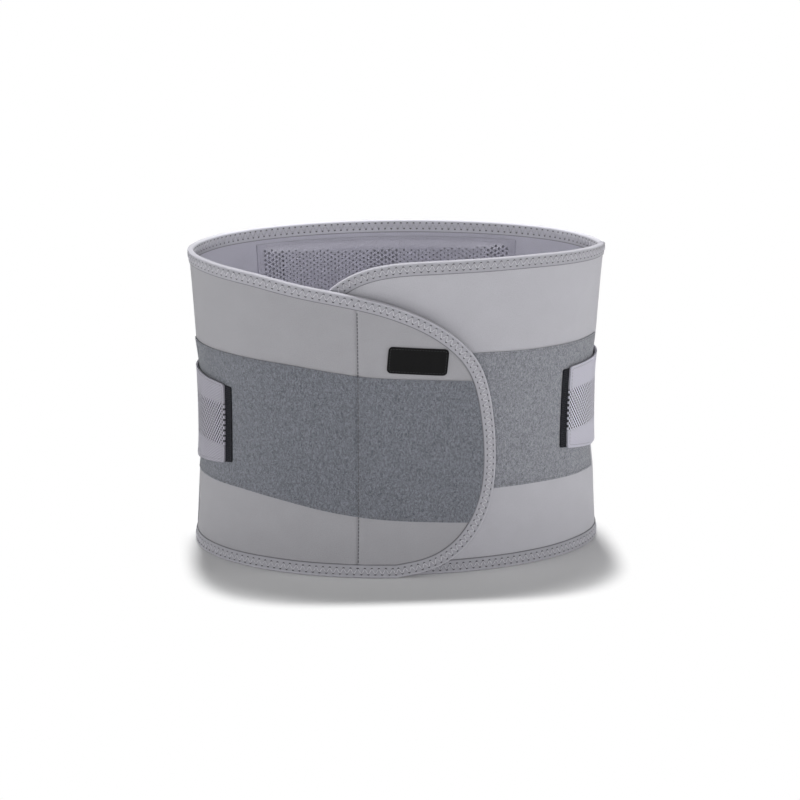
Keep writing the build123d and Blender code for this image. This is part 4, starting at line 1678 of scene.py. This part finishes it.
@dataclass(frozen=True)
class Studio:
    """Plain floor, soft lamps and the camera.

    The camera's place comes from its angles in degrees and its distance to the aim point, in metres.
    The floor keeps its shade inside a rounded oblong, whose scale is one over its half sizes, and is
    white past it.
    """

    azimuth: float = -5.8
    elevation: float = 13.74
    distance: float = 2.173
    aim: tuple[float, float, float] = (0.0, 0.0, 0.1206)
    lens: float = 120.2
    shift: tuple[float, float] = (0.0038, -0.0114)
    shade_scale: tuple[float, float, float] = (1 / 0.175, 1 / 0.168, 0.0)
    shade_centre: float = 0.02 / 0.168
    shade_edge: tuple[float, float] = (0.66, 1.13)
    surround: float = 0.16
    lamps: tuple[Lamp, ...] = (
        Lamp("right_side", (2.4, -0.9, 0.45), 1.1, 23.0),
        Lamp("left_side", (-2.4, -0.9, 0.45), 1.1, 19.0),
        Lamp("front", (-0.3, -2.5, 0.62), 1.1, 13.0),
        Lamp("top", (0.0, 0.5, 2.0), 0.42, 37.0),
        Lamp("rear", (0.3, 2.3, 0.8), 1.2, 6.0),
    )

    def build(self) -> None:
        """Builds the floor, world, lamps and camera."""
        self.world()
        self.floor()
        for lamp in self.lamps:
            self.softbox(lamp)
        self.camera()
        bpy.context.scene.view_settings.view_transform = "Standard"

    def world(self) -> None:
        """A soft pale surround, white where the camera sees it."""
        world = bpy.data.worlds.new("surround")
        bpy.context.scene.world = world
        world.use_nodes = True
        tree = Tree(world.node_tree)
        path = tree.add("ShaderNodeLightPath").outputs
        seen = tree.math("MAXIMUM", path["Is Camera Ray"], path["Is Transmission Ray"])
        strength = tree.span(seen, 0.0, 1.0, self.surround, 1.0)
        back = world.node_tree.nodes["Background"]
        back.inputs["Color"].default_value = grey(1.0)
        tree.tree.links.new(strength, back.inputs["Strength"])

    def floor(self) -> None:
        """A pale floor that keeps the belt's shadow and fades to white away from it."""
        bm = bmesh.new()
        bmesh.ops.create_grid(bm, x_segments=8, y_segments=8, size=3.0)
        bmesh.ops.translate(bm, verts=bm.verts, vec=(0, 0, -0.0006))
        mesh = bpy.data.meshes.new("floor")
        bm.to_mesh(mesh)
        bm.free()
        floor = bpy.data.objects.new("floor", mesh)
        bpy.context.scene.collection.objects.link(floor)
        material, tree, shader = start_material("floor")
        place = tree.add("ShaderNodeTexCoord").outputs["Object"]
        spread = tree.add("ShaderNodeMapping", {"Vector": place, "Location": (0.0, self.shade_centre, 0.0),
                                                "Scale": self.shade_scale}).outputs[0]
        squares = tree.add("ShaderNodeVectorMath", {0: spread, 1: spread}, operation="MULTIPLY").outputs[0]
        reach = tree.add("ShaderNodeVectorMath", {0: squares, 1: squares},
                         operation="DOT_PRODUCT").outputs["Value"]
        shader.inputs["Base Color"].default_value = grey(0.93)
        shader.inputs["Roughness"].default_value = 0.9
        shader.inputs["Specular IOR Level"].default_value = 0.1
        white = tree.add("ShaderNodeEmission", {"Color": grey(1.0), "Strength": 1.0})
        camera = tree.add("ShaderNodeLightPath").outputs["Is Camera Ray"]
        share = tree.math("MULTIPLY", tree.span(reach, *self.shade_edge), camera)
        mixed = tree.add("ShaderNodeMixShader", {0: share, 1: shader.outputs[0], 2: white.outputs[0]})
        output = material.node_tree.nodes["Material Output"]
        tree.tree.links.new(mixed.outputs[0], output.inputs["Surface"])
        mesh.materials.append(material)

    def softbox(self, lamp: Lamp) -> None:
        """A square softbox aimed at the belt."""
        data = bpy.data.lights.new(lamp.name, "AREA")
        data.size = lamp.size
        data.energy = lamp.power
        light = bpy.data.objects.new(lamp.name, data)
        light.location = lamp.place
        light.rotation_euler = (Vector(self.aim) - Vector(lamp.place)).to_track_quat("-Z", "Y").to_euler()
        bpy.context.scene.collection.objects.link(light)

    def camera(self) -> None:
        """The camera, in front, a little to the wearer's right and above."""
        data = bpy.data.cameras.new("camera")
        data.lens = self.lens
        data.sensor_width = 36.0
        data.shift_x, data.shift_y = self.shift
        turn, rise = math.radians(self.azimuth), math.radians(self.elevation)
        back = Vector((math.sin(turn) * math.cos(rise), -math.cos(turn) * math.cos(rise), math.sin(rise)))
        camera = bpy.data.objects.new("camera", data)
        camera.location = Vector(self.aim) + back * self.distance
        camera.rotation_euler = back.to_track_quat("Z", "Y").to_euler()
        bpy.context.scene.collection.objects.link(camera)
        bpy.context.scene.camera = camera


def main() -> None:
    """Builds the belt in order, then the studio."""
    logging.basicConfig(level=logging.INFO, format="%(name)s: %(message)s")
    maker = Maker()
    BackPanel(maker).build()
    LumbarPanel(maker).build()
    RightWing(maker).build()
    ClosureFlap(maker).build()
    LeftWing(maker).build()
    Strap(maker, side="right", sign=-1.0, lap=Lap.RIGHT, back_start=BACK_MIDDLE + STRAP_GAP,
          wing_seam=-QUARTER, root=OVAL.station(RIGHT_ROOT_X, n=0.0), tip=OVAL.station(-143.0, 115.0, 5.6),
          low=73.5, high=146.5, tip_low=79.5, tip_high=143.5).build()
    Strap(maker, side="left", sign=1.0, lap=Lap.LEFT, back_start=BACK_MIDDLE - STRAP_GAP,
          wing_seam=LEFT_SEAM_S, root=OVAL.station(LEFT_ROOT_X, n=0.0), tip=OVAL.station(130.5, 115.0, 5.6),
          low=81.0, high=154.0, tip_low=86.5, tip_high=153.5).build()
    AnchorPatch(maker).build()
    Studio().build()


if __name__ == "__main__":
    main()
